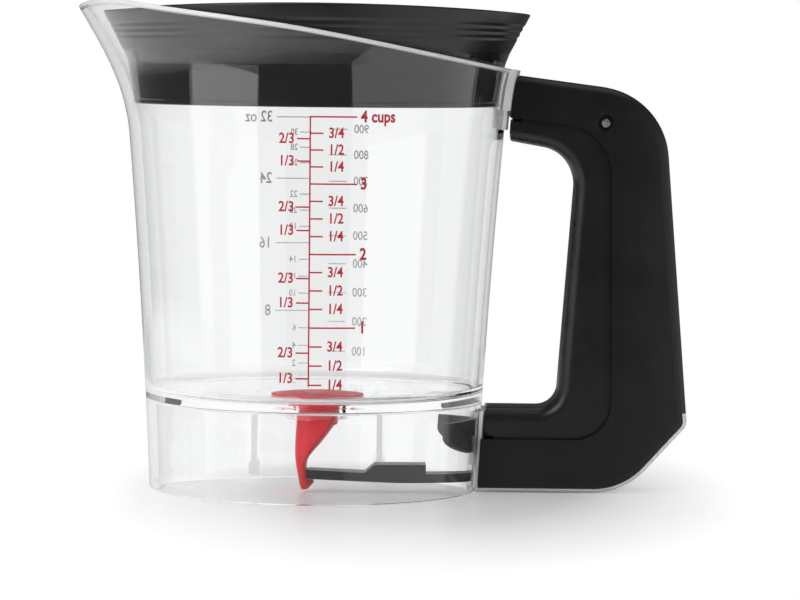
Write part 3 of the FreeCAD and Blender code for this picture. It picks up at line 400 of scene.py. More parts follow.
class Grower(Nodes):
    """A geometry node tree with named number inputs."""

    def __init__(self, name, **inputs):
        super().__init__(bpy.data.node_groups.new(name, "GeometryNodeTree"))
        sockets = self.tree.interface
        sockets.new_socket("Geometry", in_out="INPUT", socket_type="NodeSocketGeometry")
        for label, value in inputs.items():
            label = label.replace("_", " ")
            socket = sockets.new_socket(label, in_out="INPUT", socket_type="NodeSocketFloat")
            socket.default_value = value
        sockets.new_socket("Geometry", in_out="OUTPUT", socket_type="NodeSocketGeometry")
        self.source = self.add("NodeGroupInput")
        self.result = self.add("NodeGroupOutput")

    def size(self, label):
        return self.source.outputs[label]

    def geometry(self, kind, links=None, output="Geometry", **values):
        """Output of a new node whose type is GeometryNode and the kind."""
        return self.add("GeometryNode" + kind, links, **values).outputs[output]

    def point(self, x, y, z):
        return self.add("ShaderNodeCombineXYZ", {"X": x, "Y": y, "Z": z}).outputs["Vector"]

    def joined(self, parts):
        join = self.add("GeometryNodeJoinGeometry")
        for part in parts:
            self.tree.links.new(part, join.inputs["Geometry"])
        return join.outputs["Geometry"]

    def grow(self, piece, grown, material):
        """Ends the tree, runs it on a piece and keeps what it makes as a plain mesh."""
        real = self.geometry("RealizeInstances", {"Geometry": grown})
        coloured = self.geometry("SetMaterial", {"Geometry": real, "Material": material})
        self.feed(self.result.inputs["Geometry"], coloured)
        modifier = piece.modifiers.new(self.tree.name, "NODES")
        modifier.node_group = self.tree
        for item in self.tree.interface.items_tree:
            if item.in_out == "INPUT" and item.socket_type == "NodeSocketFloat":
                modifier[item.identifier] = item.default_value
        bake(piece)
        face_outwards(piece)


# ---- materials ----
LIT_PALM_FROM_X, LIT_PALM_TO_X = 0.078, 0.100     # metres from the frame's middle, where painted light makes the handle's palm side lighter
MANY_RAYS, MANY_MIRRORS, MANY_WALLS = 6.5, 2.5, 4.5     # passes after which a way is long


class Finish(Nodes):
    """A procedural material on Object coordinates, built up step by step."""

    def __init__(self, name, **sockets):
        self.material = bpy.data.materials.new(name)
        self.material.use_nodes = True
        super().__init__(self.material.node_tree)
        self.shader = self.tree.nodes["Principled BSDF"]
        self.place = self.add("ShaderNodeTexCoord").outputs["Object"]
        for socket, value in sockets.items():
            self.shader.inputs[socket.replace("_", " ")].default_value = value

    def noise(self, scale, detail, stretch=(1, 1, 1)):
        """Noise whose scale counts features per metre."""
        turn = self.add("ShaderNodeMapping", {"Vector": self.place, "Scale": stretch}).outputs["Vector"]
        noise = self.add("ShaderNodeTexNoise", {"Vector": turn, "Scale": scale, "Detail": detail})
        return noise.outputs["Fac"]

    def along(self, axis):
        """The place on a piece along X, Y or Z, in metres."""
        return self.add("ShaderNodeSeparateXYZ", {"Vector": self.place}).outputs[axis]

    def mixed(self, share, first, second):
        """Colour between two colours or links, by a share from 0 to 1."""
        mix = self.add("ShaderNodeMix", {"Factor": share}, data_type="RGBA")
        sockets = [socket for socket in mix.inputs if socket.type == "RGBA"]
        for socket, colour in zip(sockets, (first, second)):
            self.feed(socket, (*colour, 1) if isinstance(colour, tuple) else colour)
        return [socket for socket in mix.outputs if socket.type == "RGBA"][0]

    def blended(self, share, first, second):
        """Shader between two shaders, by a share from 0 to 1."""
        return self.add("ShaderNodeMixShader", {"Fac": share, 1: first, 2: second}).outputs["Shader"]

    def surface(self, shader):
        """Ends the material in a shader."""
        self.feed(self.tree.nodes["Material Output"].inputs["Surface"], shader)

    def mottle(self, scale=60, detail=2):
        """Noise spread over 0 to 1."""
        return self.spread(self.noise(scale, detail), 0, 1)

    def colour(self, source):
        self.feed(self.shader.inputs["Base Color"], source)

    def bump(self, source, height):
        """Relief of a height in metres."""
        bump = self.add("ShaderNodeBump", {"Strength": 1.0, "Distance": height, "Height": source})
        self.feed(self.shader.inputs["Normal"], bump.outputs["Normal"])

    def roughness(self, source, low, high):
        self.feed(self.shader.inputs["Roughness"], self.spread(source, low, high))


def material_of(name, colour, rough, relief, **sockets):
    """Material whose colour, roughness and relief each follow a noise, given as its scale and detail."""
    finish = Finish(name, **sockets)
    mottle, low, high = colour
    finish.colour(finish.mixed(finish.mottle(*mottle), low, high))
    rough_noise, smoothest, roughest = rough
    finish.roughness(finish.noise(*rough_noise), smoothest, roughest)
    grain, height = relief
    finish.bump(finish.noise(*grain), height)
    return finish.material


def handle_black():
    """Grained black whose palm side, towards +X, is painted a little lighter, standing in for the light from
    the right that falls on it.
    """
    finish = Finish("handle_black", IOR=1.49, Specular_IOR_Level=0.36)
    mottle = finish.mottle()
    plain_black = finish.mixed(mottle, (0.0065, 0.0065, 0.007), (0.01, 0.01, 0.0106))
    palm_painted_light = finish.mixed(mottle, (0.015, 0.015, 0.0157), (0.02, 0.02, 0.0208))
    # painted light: towards +X the black is mixed into a lighter black, as if lit from the right
    palm = finish.spread(finish.along("X"), 0, 1, LIT_PALM_FROM_X, LIT_PALM_TO_X)
    finish.colour(finish.mixed(palm, plain_black, palm_painted_light))
    finish.roughness(finish.noise(180, 4), 0.36, 0.46)
    finish.bump(finish.noise(3200, 2), 0.000016)
    return finish.material


def long_way(nodes, path):
    """1 for light that has been through the plastic so often that it leaves straight."""
    return nodes.most(nodes.above(path.outputs["Ray Depth"], MANY_RAYS),
                      nodes.above(path.outputs["Glossy Depth"], MANY_MIRRORS))


def clear_plastic(name, painted_edge_shade, cloud=0.0):
    """Clear hard plastic: painted grey shade darkens its edges where they turn away, lamps shine through it,
    and cloud makes it scatter.
    """
    finish = Finish(name, IOR=1.52, Transmission_Weight=1.0 - cloud)
    finish.roughness(finish.noise(70, 3), 0.008 + 0.3 * cloud, 0.016 + 0.36 * cloud)
    facing = finish.add("ShaderNodeLayerWeight", {"Blend": 0.5}).outputs["Facing"]
    # painted shade: the colour greys where the surface turns away, standing in for dark surroundings seen
    # through the edges
    finish.colour(finish.mixed(finish.spread(facing, 0, 1, 0.55, 0.98), (0.981, 0.985, 0.988), painted_edge_shade))
    finish.bump(finish.noise(14, 1, (1, 1, 0.35)), 0.00004)
    path = finish.add("ShaderNodeLightPath")
    through = finish.add("ShaderNodeBsdfTransparent", {"Color": (0.985, 0.987, 0.988, 1)})
    straight = finish.most(path.outputs["Is Shadow Ray"], long_way(finish, path))
    finish.surface(finish.blended(straight, finish.shader.outputs["BSDF"], through.outputs["BSDF"]))
    return finish.material


def lid_black():
    """Black lid: a polished band below, a satin collar above."""
    finish = Finish("lid_black", IOR=1.6)
    finish.colour(finish.mixed(finish.mottle(), (0.0075, 0.0075, 0.008), (0.0115, 0.0115, 0.012)))
    collar = finish.spread(finish.along("Z"), 0, 1, (BAND_TOP_Z + 3) * MM, (BAND_TOP_Z + 5) * MM)
    polished = finish.spread(finish.noise(90, 3), 0.035, 0.06)
    satin = finish.spread(finish.noise(180, 4), 0.28, 0.36)
    rough = finish.plus(finish.times(collar, satin), finish.times(finish.minus(1.0, collar), polished))
    finish.feed(finish.shader.inputs["Roughness"], rough)
    finish.bump(finish.times(collar, finish.noise(2600, 2)), 0.00001)
    return finish.material


# the last colour given to each is its painted edge shade
CLEAR = clear_plastic("clear_plastic_jug", (0.80, 0.82, 0.83))
CLEAR_STRIP = clear_plastic("clear_plastic_strip", (0.90, 0.91, 0.92), 0.5)
CLEAR_EDGE = clear_plastic("clear_plastic_edge", (0.97, 0.975, 0.98), 0.62)
LID_BLACK = lid_black()
SHELL_BLACK = handle_black()
TRIGGER_BLACK = material_of("trigger_black", ((60, 2), (0.0075, 0.0075, 0.0082), (0.012, 0.012, 0.0127)),
                            ((180, 4), 0.27, 0.35), ((2200, 2), 0.00001), IOR=1.49, Specular_IOR_Level=0.55)
LEVER_GREY = material_of("lever_grey", ((60, 2), (0.006, 0.0062, 0.0066), (0.010, 0.0102, 0.0108)),
                         ((180, 4), 0.36, 0.46), ((2600, 2), 0.000012), IOR=1.49, Specular_IOR_Level=0.38)
PLATE_GREY = material_of("plate_grey", ((60, 2), (0.062, 0.063, 0.065), (0.088, 0.089, 0.092)),
                         ((180, 4), 0.34, 0.44), ((2600, 2), 0.000012), IOR=1.49, Specular_IOR_Level=0.38)
SILICONE = material_of("red_silicone", ((120, 2), (0.90, 0.008, 0.022), (0.97, 0.022, 0.042)),
                       ((220, 3), 0.32, 0.46), ((900, 2), 0.00003), IOR=1.41, Subsurface_Weight=0.5,
                       Subsurface_Radius=(1.0, 0.18, 0.12), Subsurface_Scale=0.005)
STEEL = material_of("pin_steel", ((900, 3), (0.68, 0.68, 0.69), (0.80, 0.80, 0.81)),
                    ((1400, 4, (1, 6, 1)), 0.32, 0.46), ((2400, 2, (1, 8, 1)), 0.000004), Metallic=1.0)
RED_INK, GREY_INK = (
    material_of(name, ((700, 3), thin, full), ((900, 2), 0.45, 0.6), ((3000, 2), 0.000004), IOR=1.45)
    for name, thin, full in (("scale_red", (0.56, 0.02, 0.045), (0.50, 0.012, 0.03)),
                             ("scale_grey", (0.84, 0.84, 0.85), (0.78, 0.78, 0.79))))


# ---- the jug ----
def rim_line():
    """Points (x, z) of the slanted rim, seen from the side, from the spout's tip to the handle."""
    reach = wall_r(RIM_TIP_Z) + SPOUT
    handle = wall_r(RIM_HANDLE_Z)
    slope = (RIM_MID_Z - RIM_HANDLE_Z) / handle
    return [(-reach - RIM_TIP_RUN, RIM_TIP_Z - RIM_TIP_FALL), (-reach, RIM_TIP_Z),
            (-RIM_SPOUT_AT * reach, RIM_SPOUT_Z), (-RIM_SHOULDER_AT * reach, RIM_SHOULDER_Z),
            (0.0, RIM_MID_Z), (handle, RIM_HANDLE_Z),
            (handle + RIM_HANDLE_RUN, RIM_HANDLE_Z - slope * RIM_HANDLE_RUN)]


def from_spout(turn):
    """Degrees from the -X direction."""
    return abs((math.degrees(turn) % 360.0) - 180.0)


def mouth_r(z, turn):
    return wall_r(z) + spout(z, from_spout(turn))


def rim_z(turn):
    """Height of the rim at a turn; the wall's radius there depends on it, so it is found in rounds."""
    z = RIM_MID_Z
    for _ in range(8):
        z = min(RIM_SPOUT_Z, smooth_height(rim_line(), mouth_r(z, turn) * math.cos(turn)))
    return z


def skirt_in_r(z):
    return body_r(z) - WALL


def drain_shift(r, z):
    """How far a point of the floor sits towards the handle, because the drain does."""
    if z > SEAT_Z + 1.0:
        return 0.0
    edge = SEAT_R + SEAT_EASE
    return DRAIN_X * min(1.0, max(0.0, (edge - r) / (edge - COLLAR_R)))


def jug_shape():
    """Rings of the jug: up the outside, over the rounded rim, down the inside and under the floor."""
    loft_z, lip = 108.0, WALL / 2       # from loft_z up, the rings lean over to the slanted rim
    fillet_z = FLOOR_Z + 2 * FLOOR_FILLET
    under_z = FLOOR_Z - FLOOR_T
    below = rounded_path([
        (wall_r(fillet_z) - WALL, fillet_z, 0),
        (wall_r(FLOOR_Z) - WALL, FLOOR_Z, FLOOR_FILLET),
        (SEAT_R, SEAT_Z, 2.0),
        (DRAIN_R, SEAT_Z, 0.5),
        (DRAIN_R, COLLAR_Z, 0.5),
        (COLLAR_R, COLLAR_Z, 0.5),
        (COLLAR_R, UNDER_Z, 0.6),
        (SEAT_R, UNDER_Z, 2.0),
        (skirt_in_r(under_z), under_z, 1.0),
        (skirt_in_r(0), 0, 0.5),
        (BASE_R, 0, 0.5),
        (body_r(3), 3.0, 0),
    ])
    outside = [(body_r(z), z) for z in steps(6.0, loft_z, 20)]
    inside = [(body_r(z) - WALL, z) for z in steps(loft_z, fillet_z + 3.0, 16)]
    points = []
    turns = [2 * math.pi * j / ROUND_COUNT for j in range(ROUND_COUNT)]
    rims = [rim_z(turn) - lip for turn in turns]

    def plain(profile, shift=lambda r, z: 0.0):
        for r, z in profile:
            points.extend((r * math.cos(t) + shift(r, z), r * math.sin(t), z) for t in turns)

    def mouth(shares, inset):
        for share in shares:
            for turn, rim in zip(turns, rims):
                z = loft_z + (rim - loft_z) * share
                r = mouth_r(z, turn) - inset
                points.append((r * math.cos(turn), r * math.sin(turn), z))

    edge = 1 - RIM_EDGE_H / (RIM_MID_Z - loft_z)
    plain(outside)
    mouth(steps(0.04, edge, 25) + [1], 0.0)
    for rise in steps(0, 180, 9)[1:-1]:
        for turn, rim in zip(turns, rims):
            r = mouth_r(rim, turn) - lip + lip * math.cos(math.radians(rise))
            points.append((r * math.cos(turn), r * math.sin(turn), rim + lip * math.sin(math.radians(rise))))
    mouth([1] + steps(edge, 0.04, 25), WALL)
    plain(inside)
    plain(below, drain_shift)
    rings = len(points) // ROUND_COUNT
    return points, ring_faces(rings, ROUND_COUNT, True)


def bracket_pad(thick, width, low_z, high_z):
    """Closed pad that thickens the wall at the handle; its top follows the slanted rim."""
    rows, columns = 9, 15
    outer, inner = [], []
    for y in steps(-width / 2, width / 2, columns):
        for share in steps(0, 1, rows):
            top = high_z
            if high_z > RIM_HANDLE_Z - 3:
                x = math.sqrt((wall_r(RIM_HANDLE_Z) + thick) ** 2 - y * y)
                top = smooth_height(rim_line(), x) - 0.1
            z = low_z + (top - low_z) * share
            near = wall_r(z)
            outer.append((math.sqrt((near + thick) ** 2 - y * y), y, z))
            inner.append((math.sqrt((near - SINK) ** 2 - y * y), y, z))
    return slab("pad", outer, inner, rows)


def make_jug():
    jug = closed_piece("jug_clear", *jug_shape())
    ribs = []
    for x in (-RIB_X, RIB_X):
        near = math.sqrt(skirt_in_r(12) ** 2 - x ** 2) - RIB_DEPTH
        far = near + RIB_DEPTH + SINK
        for name, half, start, low_z, high_z in (
                ("rib", RIB_W / 2, near, RIB_LOW_Z, UNDER_Z + RIB_RISE),
                ("rib_foot", RIB_FOOT_W / 2, near - RIB_FOOT_OUT, RIB_FOOT_LOW_Z, RIB_FOOT_Z)):
            ribs.append(box_piece(name, (x - half, start, low_z), (x + half, far, high_z)))
    foot_w, foot_top_z = BRACKET_W - 2 * BRACKET_T, BRACKET_LOW_Z + BRACKET_LAP
    pads = [bracket_pad(BRACKET_T, BRACKET_W, BRACKET_LOW_Z, RIM_HANDLE_Z),
            bracket_pad(BRACKET_FOOT_T, foot_w, BRACKET_FOOT_Z, foot_top_z)]
    half, top_r = TONGUE_W / 2, wall_r(TONGUE_TOP_Z)
    tongue = box_piece("tongue", (top_r - TONGUE_SINK, -half, TONGUE_LOW_Z),
                       (top_r + TONGUE_OUT, half, TONGUE_TOP_Z))
    combine(jug, ribs + pads + [tongue], "UNION")
    slot = box_piece("slot", (BASE_R - SLOT_IN, -SLOT_HALF_W, SLOT_LOW_Z),
                     (BASE_R + SLOT_OUT, SLOT_HALF_W, SLOT_HIGH_Z))
    holes = [rod_piece("hole", SCREW_HOLE_R, (BASE_R - HOLE_IN, y, ANCHOR_SCREW_Z),
                       (BASE_R + HOLE_OUT, y, ANCHOR_SCREW_Z)) for y in (-ANCHOR_SCREW_Y, ANCHOR_SCREW_Y)]
    top_x = top_r + TOP_SCREW_OUT
    holes.append(rod_piece("hole", SCREW_HOLE_R, (top_x, 0, TONGUE_LOW_Z - HOLE_PAST),
                           (top_x, 0, TONGUE_TOP_Z + HOLE_PAST)))
    combine(jug, [slot] + holes, "DIFFERENCE")
    smooth(jug, 40)
    finished(jug, "jug", "clear_plastic", CLEAR, "vessel")
    cloud_edges(jug)


def cloud_edges(jug):
    """The rim's lip, bracket, ribs and foot scatter light, so they take the cloudy clear plastic."""
    jug.data.materials.append(CLEAR_EDGE)
    for face in jug.data.polygons:
        x, y, z = face.center.x / MM - AXIS_X, face.center.y / MM, face.center.z / MM
        turn, r = math.atan2(y, x), math.hypot(x, y)
        on_lip = z > 130 and z > rim_z(turn) - WALL / 2 - RIM_EDGE_H and r > wall_r(z) - WALL - 1
        on_bracket = z > BRACKET_FOOT_Z - 0.1 and r > wall_r(z) + 0.3 and abs(turn) < 0.4
        near_rib = y > 0 and z < UNDER_Z and abs(abs(x) - RIB_X) < RIB_FOOT_W
        on_rib = near_rib and r < skirt_in_r(z) - 0.3
        if on_lip or on_bracket or on_rib or z < FOOT_EDGE_H:
            face.material_index = 1


# ---- the lid ----
def mouth_in_r(z):
    return wall_r(z) - WALL


def collar_r(z):
    neck, rim = mouth_in_r(NECK_TOP_Z) - LID_GAP, mouth_in_r(LID_RIM_Z) - RIM_GAP
    return neck + (rim - neck) * (z - NECK_TOP_Z) / (LID_RIM_Z - NECK_TOP_Z)


def crowned(point, turn):
    """Lowers the collar towards spout and handle, as its crowned rim does."""
    x, y, z = point
    share = min(1.0, max(0.0, (z - NECK_TOP_Z) / (LID_RIM_Z - NECK_TOP_Z)))
    return x, y, z - LID_CROWN * share * math.cos(turn) ** 2


def lid_profile():
    low_r = mouth_in_r(LID_BOTTOM_Z) - LID_GAP
    band_r = mouth_in_r(BAND_TOP_Z) - BAND_GAP
    neck_r = collar_r(NECK_TOP_Z)
    inset = LID_WALL + FUNNEL_SLOPE
    floor_in, floor_r = LID_BOTTOM_Z + STRAINER_T, low_r - STRAINER_MIDDLE
    lip_z = LID_BOTTOM_Z + LIP_H
    lip_r = low_r + (band_r - low_r) * LIP_H / (BAND_TOP_Z - LID_BOTTOM_Z)
    waist_r, waist_z = (band_r + neck_r) / 2 - NECK_SAG, (BAND_TOP_Z + NECK_TOP_Z) / 2
    corners = [(0, LID_BOTTOM_Z, 0), (floor_r, LID_BOTTOM_Z, 0), (low_r, LID_BOTTOM_Z, 0.5),
               (lip_r, lip_z, 0.1), (lip_r - LIP_STEP, lip_z + LIP_STEP, 0.1), (band_r, BAND_TOP_Z, 6.0),
               (waist_r, waist_z, 6.0), (neck_r, NECK_TOP_Z, 1.6)]
    half = RIDGE_PITCH * RIDGE_SHARE
    for i in range(RIDGES):
        z = NECK_TOP_Z + RIDGE_FOOT + i * RIDGE_PITCH
        corners += [(collar_r(z - half), z - half, 0.8), (collar_r(z) - RIDGE_DEPTH, z, 0.8),
                    (collar_r(z + half), z + half, 0.8)]
    corners += [(collar_r(LID_RIM_Z), LID_RIM_Z, 0.95), (collar_r(LID_RIM_Z) - LID_WALL, LID_RIM_Z, 0.95),
                (neck_r - inset, NECK_TOP_Z, 3.0), (band_r - inset, BAND_TOP_Z, 6.0),
                (low_r - inset, floor_in, 1.0), (floor_r, floor_in, 0), (0, floor_in, 0)]
    return rounded_path(corners)


def strainer_holes():
    """Tree that bores the strainer: a ring of rods at each step outwards, and one in the middle."""
    g = Grower("strainer_holes", Radius=STRAINER_HOLE_R * MM, Pitch=STRAINER_PITCH * MM,
               Height=LID_BOTTOM_Z * MM, Depth=STRAINER_BORE * MM, Centre=AXIS_X * MM)
    rod = g.geometry("MeshCylinder", {"Vertices": 32, "Radius": g.size("Radius"), "Depth": g.size("Depth")},
                     "Mesh")
    spots = []
    for ring in (1, 2):
        reach = g.times(g.size("Pitch"), ring)
        spots.append(g.geometry("MeshCircle", {"Vertices": 6 * ring, "Radius": reach}, "Mesh"))
    spots.append(g.geometry("MeshLine", {"Count": 1}, "Mesh"))
    rods = g.geometry("InstanceOnPoints", {"Points": g.joined(spots), "Instance": rod}, "Instances")
    place = g.point(g.size("Centre"), 0.0, g.plus(g.size("Height"), STRAINER_T / 2 * MM))
    moved = g.geometry("Transform", {"Geometry": rods, "Translation": place})
    real = g.geometry("RealizeInstances", {"Geometry": moved})
    bored = g.geometry("MeshBoolean", {"Mesh 1": g.source.outputs["Geometry"], "Mesh 2": real}, "Mesh",
                       operation="DIFFERENCE", solver="EXACT")
    return g, bored


def make_lid():
    lid = turned("lid", lid_profile(), crowned)
    grower, bored = strainer_holes()
    grower.grow(lid, bored, LID_BLACK)
    smooth(lid, 40)
    finished(lid, "lid", "lid_plastic", LID_BLACK, "strainer_lid")


# ---- stopper ----
def tail_section(z):
    """Outline of the stopper's tail at a height: (left, right, ridge, half depth)."""
    rows = [(24.4, -6.9, 6.8, 4.0, 6.8), (22.0, -7.0, 5.3, 2.8, 6.7), (19.4, -7.2, 3.4, 1.0, 6.65),
            (17.0, -7.3, 1.6, -0.8, 6.6), (14.0, -7.35, -1.0, -2.5, 6.4), (12.0, -7.3, -2.5, -3.6, 6.3),
            (10.8, -7.2, -3.1, -4.2, 6.2), (8.5, -6.9, -3.4, -4.9, 5.9), (5.4, -6.3, -1.1, -4.6, 5.4),
            (3.0, -5.9, -0.9, -4.2, 5.0), (0.9, -5.3, -2.9, -4.3, 4.2)]
    for low, high in zip(rows[1:], rows):
        if z >= low[0]:
            break
    t = (high[0] - z) / (high[0] - low[0])
    return [a + (b - a) * t for a, b in zip(high[1:], low[1:])]


def tail_ring(z, around):
    """Section of the tail: full to the left of its fold, falling away to the right of it."""
    left, right, ridge, depth = tail_section(z)
    ring = []
    for j in range(around):
        turn = 2 * math.pi * j / around
        c, s = math.cos(turn), math.sin(turn)
        side, power = (right, 0.9) if c >= 0 else (left, 0.8)
        x = ridge + (side - ridge) * abs(c) ** power
        y = depth * abs(s) ** (1.35 if c >= 0 else 0.9) * (1 if s >= 0 else -1)
        ring.append((DRAIN_X + x, y, z))
    return ring


def make_stopper():
    low = SEAT_Z + SEAT_GAP
    foot_z = COLLAR_Z - NECK_BELOW
    disc = turned("stopper", rounded_path([
        (0, low + STOPPER_T, 0), (STOPPER_R * STOPPER_FLAT, low + STOPPER_T, 8.0),
        (STOPPER_R, low + STOPPER_LIP, 0.35), (STOPPER_R, low, 0.2), (NECK_R, low, 0.5),
        (NECK_R, foot_z, 0.8), (0, foot_z, 0)]),
        lambda point, turn: (point[0] + DRAIN_X, point[1], point[2]), 96)
    around, rows = 64, steps(TAIL_TOP_Z, TAIL_TIP_Z, 38)
    points = [(x, y, COLLAR_Z + TAIL_IN) for x, y, _ in tail_ring(TAIL_TOP_Z, around)]
    for z in rows:
        points += tail_ring(z, around)
    combine(disc, [closed_piece("tail", points, capped_faces(len(rows) + 1, around))], "UNION")
    tip = LEVER_LOW[0] / MM - AXIS_X
    low_z, high_z = TIP_LOW_Z - TIP_CLEAR, TIP_HIGH_Z + TIP_CLEAR
    half = LEVER_TONGUE_W / 2 + TIP_CLEAR
    pocket = box_piece("pocket", (tip - TIP_CLEAR, -half, low_z), (NECK_R + 3, half, high_z))
    shoulder_x = tip + LEVER_TONGUE_L - TIP_CLEAR
    shoulder = box_piece("shoulder", (shoulder_x, -NECK_R - 2, low_z), (NECK_R + 3, NECK_R + 2, high_z))
    combine(disc, [pocket, shoulder], "DIFFERENCE")
    smooth(disc, 38)
    finished(disc, "stopper", "red_silicone", SILICONE, "stopper")


# ---- return spring ----
def make_spring():
    """Wound wire along X; its first coils sit on the trigger's spigot and its last on the shell's."""
    middle = [(a + b) / 2 for a, b in zip(SPRING_LOW, SPRING_HIGH)]
    outer = (SPRING_HIGH[2] - SPRING_LOW[2]) / 2
    g = Grower("spring_wire", Turns=float(SPRING_TURNS), Wire=SPRING_WIRE_R * MM,
               Coil=outer - SPRING_WIRE_R * MM,
               Length=SPRING_HIGH[0] - SPRING_LOW[0] - SPRING_ENDS * SPRING_WIRE_R * MM)
    helix = g.geometry("CurveSpiral", {
        "Resolution": 32, "Rotations": g.size("Turns"), "Height": g.size("Length"),
        "Start Radius": g.size("Coil"), "End Radius": g.size("Coil")}, "Curve")
    section = g.geometry("CurvePrimitiveCircle", {"Resolution": 10, "Radius": g.size("Wire")}, "Curve")
    tube = g.geometry("CurveToMesh", {"Curve": helix, "Profile Curve": section, "Fill Caps": True}, "Mesh")
    half_back = g.point(0.0, 0.0, g.times(g.size("Length"), -0.5))
    centred = g.geometry("Transform", {"Geometry": tube, "Translation": half_back})
    laid = g.geometry("Transform", {"Geometry": centred, "Translation": tuple(middle),
                                    "Rotation": (0.0, math.pi / 2, 0.0)})
    spring = mesh_piece("return_spring_piece", [(0, 0, 0)], [])
    g.grow(spring, laid, STEEL)
    smooth(spring, 60)
    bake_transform(spring)
    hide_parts("return_spring")


def make_root_lip():
    """Low ridge on the trigger's root that closes the sight line under the shell's edge."""
    corners = [(x - AXIS_X, y, z) for x, high in zip(ROOT_LIP_X, ROOT_LIP_TOP_Z)
               for y in (-ROOT_LIP_HALF_W, ROOT_LIP_HALF_W) for z in (ROOT_LIP_LOW_Z, high)]
    lip = block_piece("trigger_root_lip", corners)
    finished(lip, "trigger", "trigger_plastic", TRIGGER_BLACK)


# ---- printed scales ----
def cup_z(cups):
    """Height that a number of cups reaches."""
    return FLOOR_Z + CUP_RISE * cups - CUP_SHRINK * cups * cups


class Scale:
    """A printed scale, laid out flat as x across and y up, then wrapped on the wall.

    side is -1 for the front and 1 for the back, whose words are read from behind.
    """

    def __init__(self, name, side, drop):
        self.name, self.side, self.drop = name, side, drop
        self.points, self.faces = [], []
        self.grower = Grower(name, Floor=FLOOR_Z - drop, First_cup=CUP_RISE, Loss_per_cup=CUP_SHRINK,
                             Wall_radius=BASE_R, Taper=TAPER, Bow=BOW, Ink=INK, Side=float(side), Axis=AXIS_X)
        self.layers = [self.grower.source.outputs["Geometry"]]

    def words(self, text, cups, place, size, align, bold):
        """Adds words at a reading; place is the x of their aligned end."""
        font = bpy.data.curves.new(self.name, "FONT")
        font.body, font.size, font.align_x, font.align_y = text, size, align, "CENTER"
        font.offset, font.resolution_u = bold, 4
        sign = placed(self.name, font)
        flat = bpy.data.meshes.new_from_object(sign.evaluated_get(bpy.context.evaluated_depsgraph_get()))
        bpy.data.objects.remove(sign)
        start, height = len(self.points), cup_z(cups) - self.drop
        self.points += [(place - self.side * v.co.x * NARROW, height + v.co.y, 0) for v in flat.vertices]
        self.faces += [tuple(i + start for i in p.vertices) for p in flat.polygons]

    def strokes(self, count, first, step, x0, x1, thick):
        """Adds a row of level strokes, one for each reading."""
        g = self.grower
        cups = g.plus(g.times(g.geometry("InputIndex", output="Index"), step), first)
        loss = g.times(g.times(cups, cups), g.size("Loss per cup"))
        rise = g.minus(g.times(cups, g.size("First cup")), loss)
        spots = g.geometry("MeshLine", {"Count": count}, "Mesh")
        place = g.point((x0 + x1) / 2, g.plus(g.size("Floor"), rise), 0.0)
        spots = g.geometry("SetPosition", {"Geometry": spots, "Position": place})
        self.repeat(spots, abs(x1 - x0), thick, 9, 2)

    def upright(self, x, low, high, thick):
        """Adds an upright line."""
        middle = (x, (low + high) / 2, 0)
        spots = self.grower.geometry("MeshLine", {"Count": 1, "Start Location": middle}, "Mesh")
        self.repeat(spots, thick, high - low, 2, 30)

    def repeat(self, spots, width, height, columns, rows):
        g = self.grower
        bar = g.geometry("MeshGrid", {"Size X": width, "Size Y": height, "Vertices X": columns,
                                      "Vertices Y": rows}, "Mesh")
        bars = g.geometry("InstanceOnPoints", {"Points": spots, "Instance": bar}, "Instances")
        self.layers.append(g.geometry("RealizeInstances", {"Geometry": bars}))

    def on_wall(self, flat):
        """Bends flat print, raised by its own z, onto the bowed wall."""
        g = self.grower
        place = g.geometry("InputPosition", output="Position")
        split = g.add("ShaderNodeSeparateXYZ", {"Vector": place})
        across, height, lift = split.outputs["X"], split.outputs["Y"], split.outputs["Z"]
        bow = g.times(g.times(height, height), g.size("Bow"))
        wall = g.plus(g.size("Wall radius"), g.plus(g.times(height, g.size("Taper")), bow))
        radius = g.plus(wall, g.times(g.plus(lift, INK_START), g.size("Ink")))
        turn = g.maths("DIVIDE", across, radius)
        x = g.plus(g.times(radius, g.maths("SINE", turn)), g.size("Axis"))
        y = g.times(g.times(radius, g.maths("COSINE", turn)), g.size("Side"))
        bent = g.geometry("SetPosition", {"Geometry": flat, "Position": g.point(x, y, height)})
        return g.geometry("Transform", {"Geometry": bent, "Scale": (MM, MM, MM)})

    def print_on_jug(self, material):
        g = self.grower
        flat = g.joined(self.layers)
        raised = g.geometry("ExtrudeMesh", {"Mesh": flat, "Offset": (0, 0, 1), "Offset Scale": 1.0,
                                            "Individual": False}, "Mesh")
        mesh = bpy.data.meshes.new(self.name)
        mesh.from_pydata(self.points, [], self.faces)
        piece = placed(self.name, mesh)
        g.grow(piece, self.on_wall(g.joined([raised, flat])), material)
        finished(piece, "jug", "clear_plastic", material)


def front_scale():
    """Red cups: whole cups and quarters to the right of the line, thirds to its left."""
    scale = Scale("front_scale", -1, 0.0)
    scale.upright(SCALE_X, cup_z(SCALE_FOOT), cup_z(4) + LINE_W / 2, LINE_W)
    scale.strokes(4, 1.0, 1.0, SCALE_X, SCALE_X + STROKE, LINE_W)
    quarters = [(1 / 4, "1/4"), (1 / 2, "1/2"), (3 / 4, "3/4")]
    thirds = [(1 / 3, "1/3"), (2 / 3, "2/3")]
    for marks, stroke, style in ((quarters, SHORT_STROKE, QUARTER_WORDS),
                                 (thirds, -SHORT_STROKE, THIRD_WORDS)):
        for part, mark in marks:
            scale.strokes(4, part, 1.0, SCALE_X, SCALE_X + stroke, LINE_W)
            for cup in range(4):
                scale.words(mark, cup + part, *style)
    for cup, mark in enumerate(("1", "2", "3", "4 cups"), 1):
        scale.words(mark, cup, *CUP_WORDS)
    scale.print_on_jug(RED_INK)


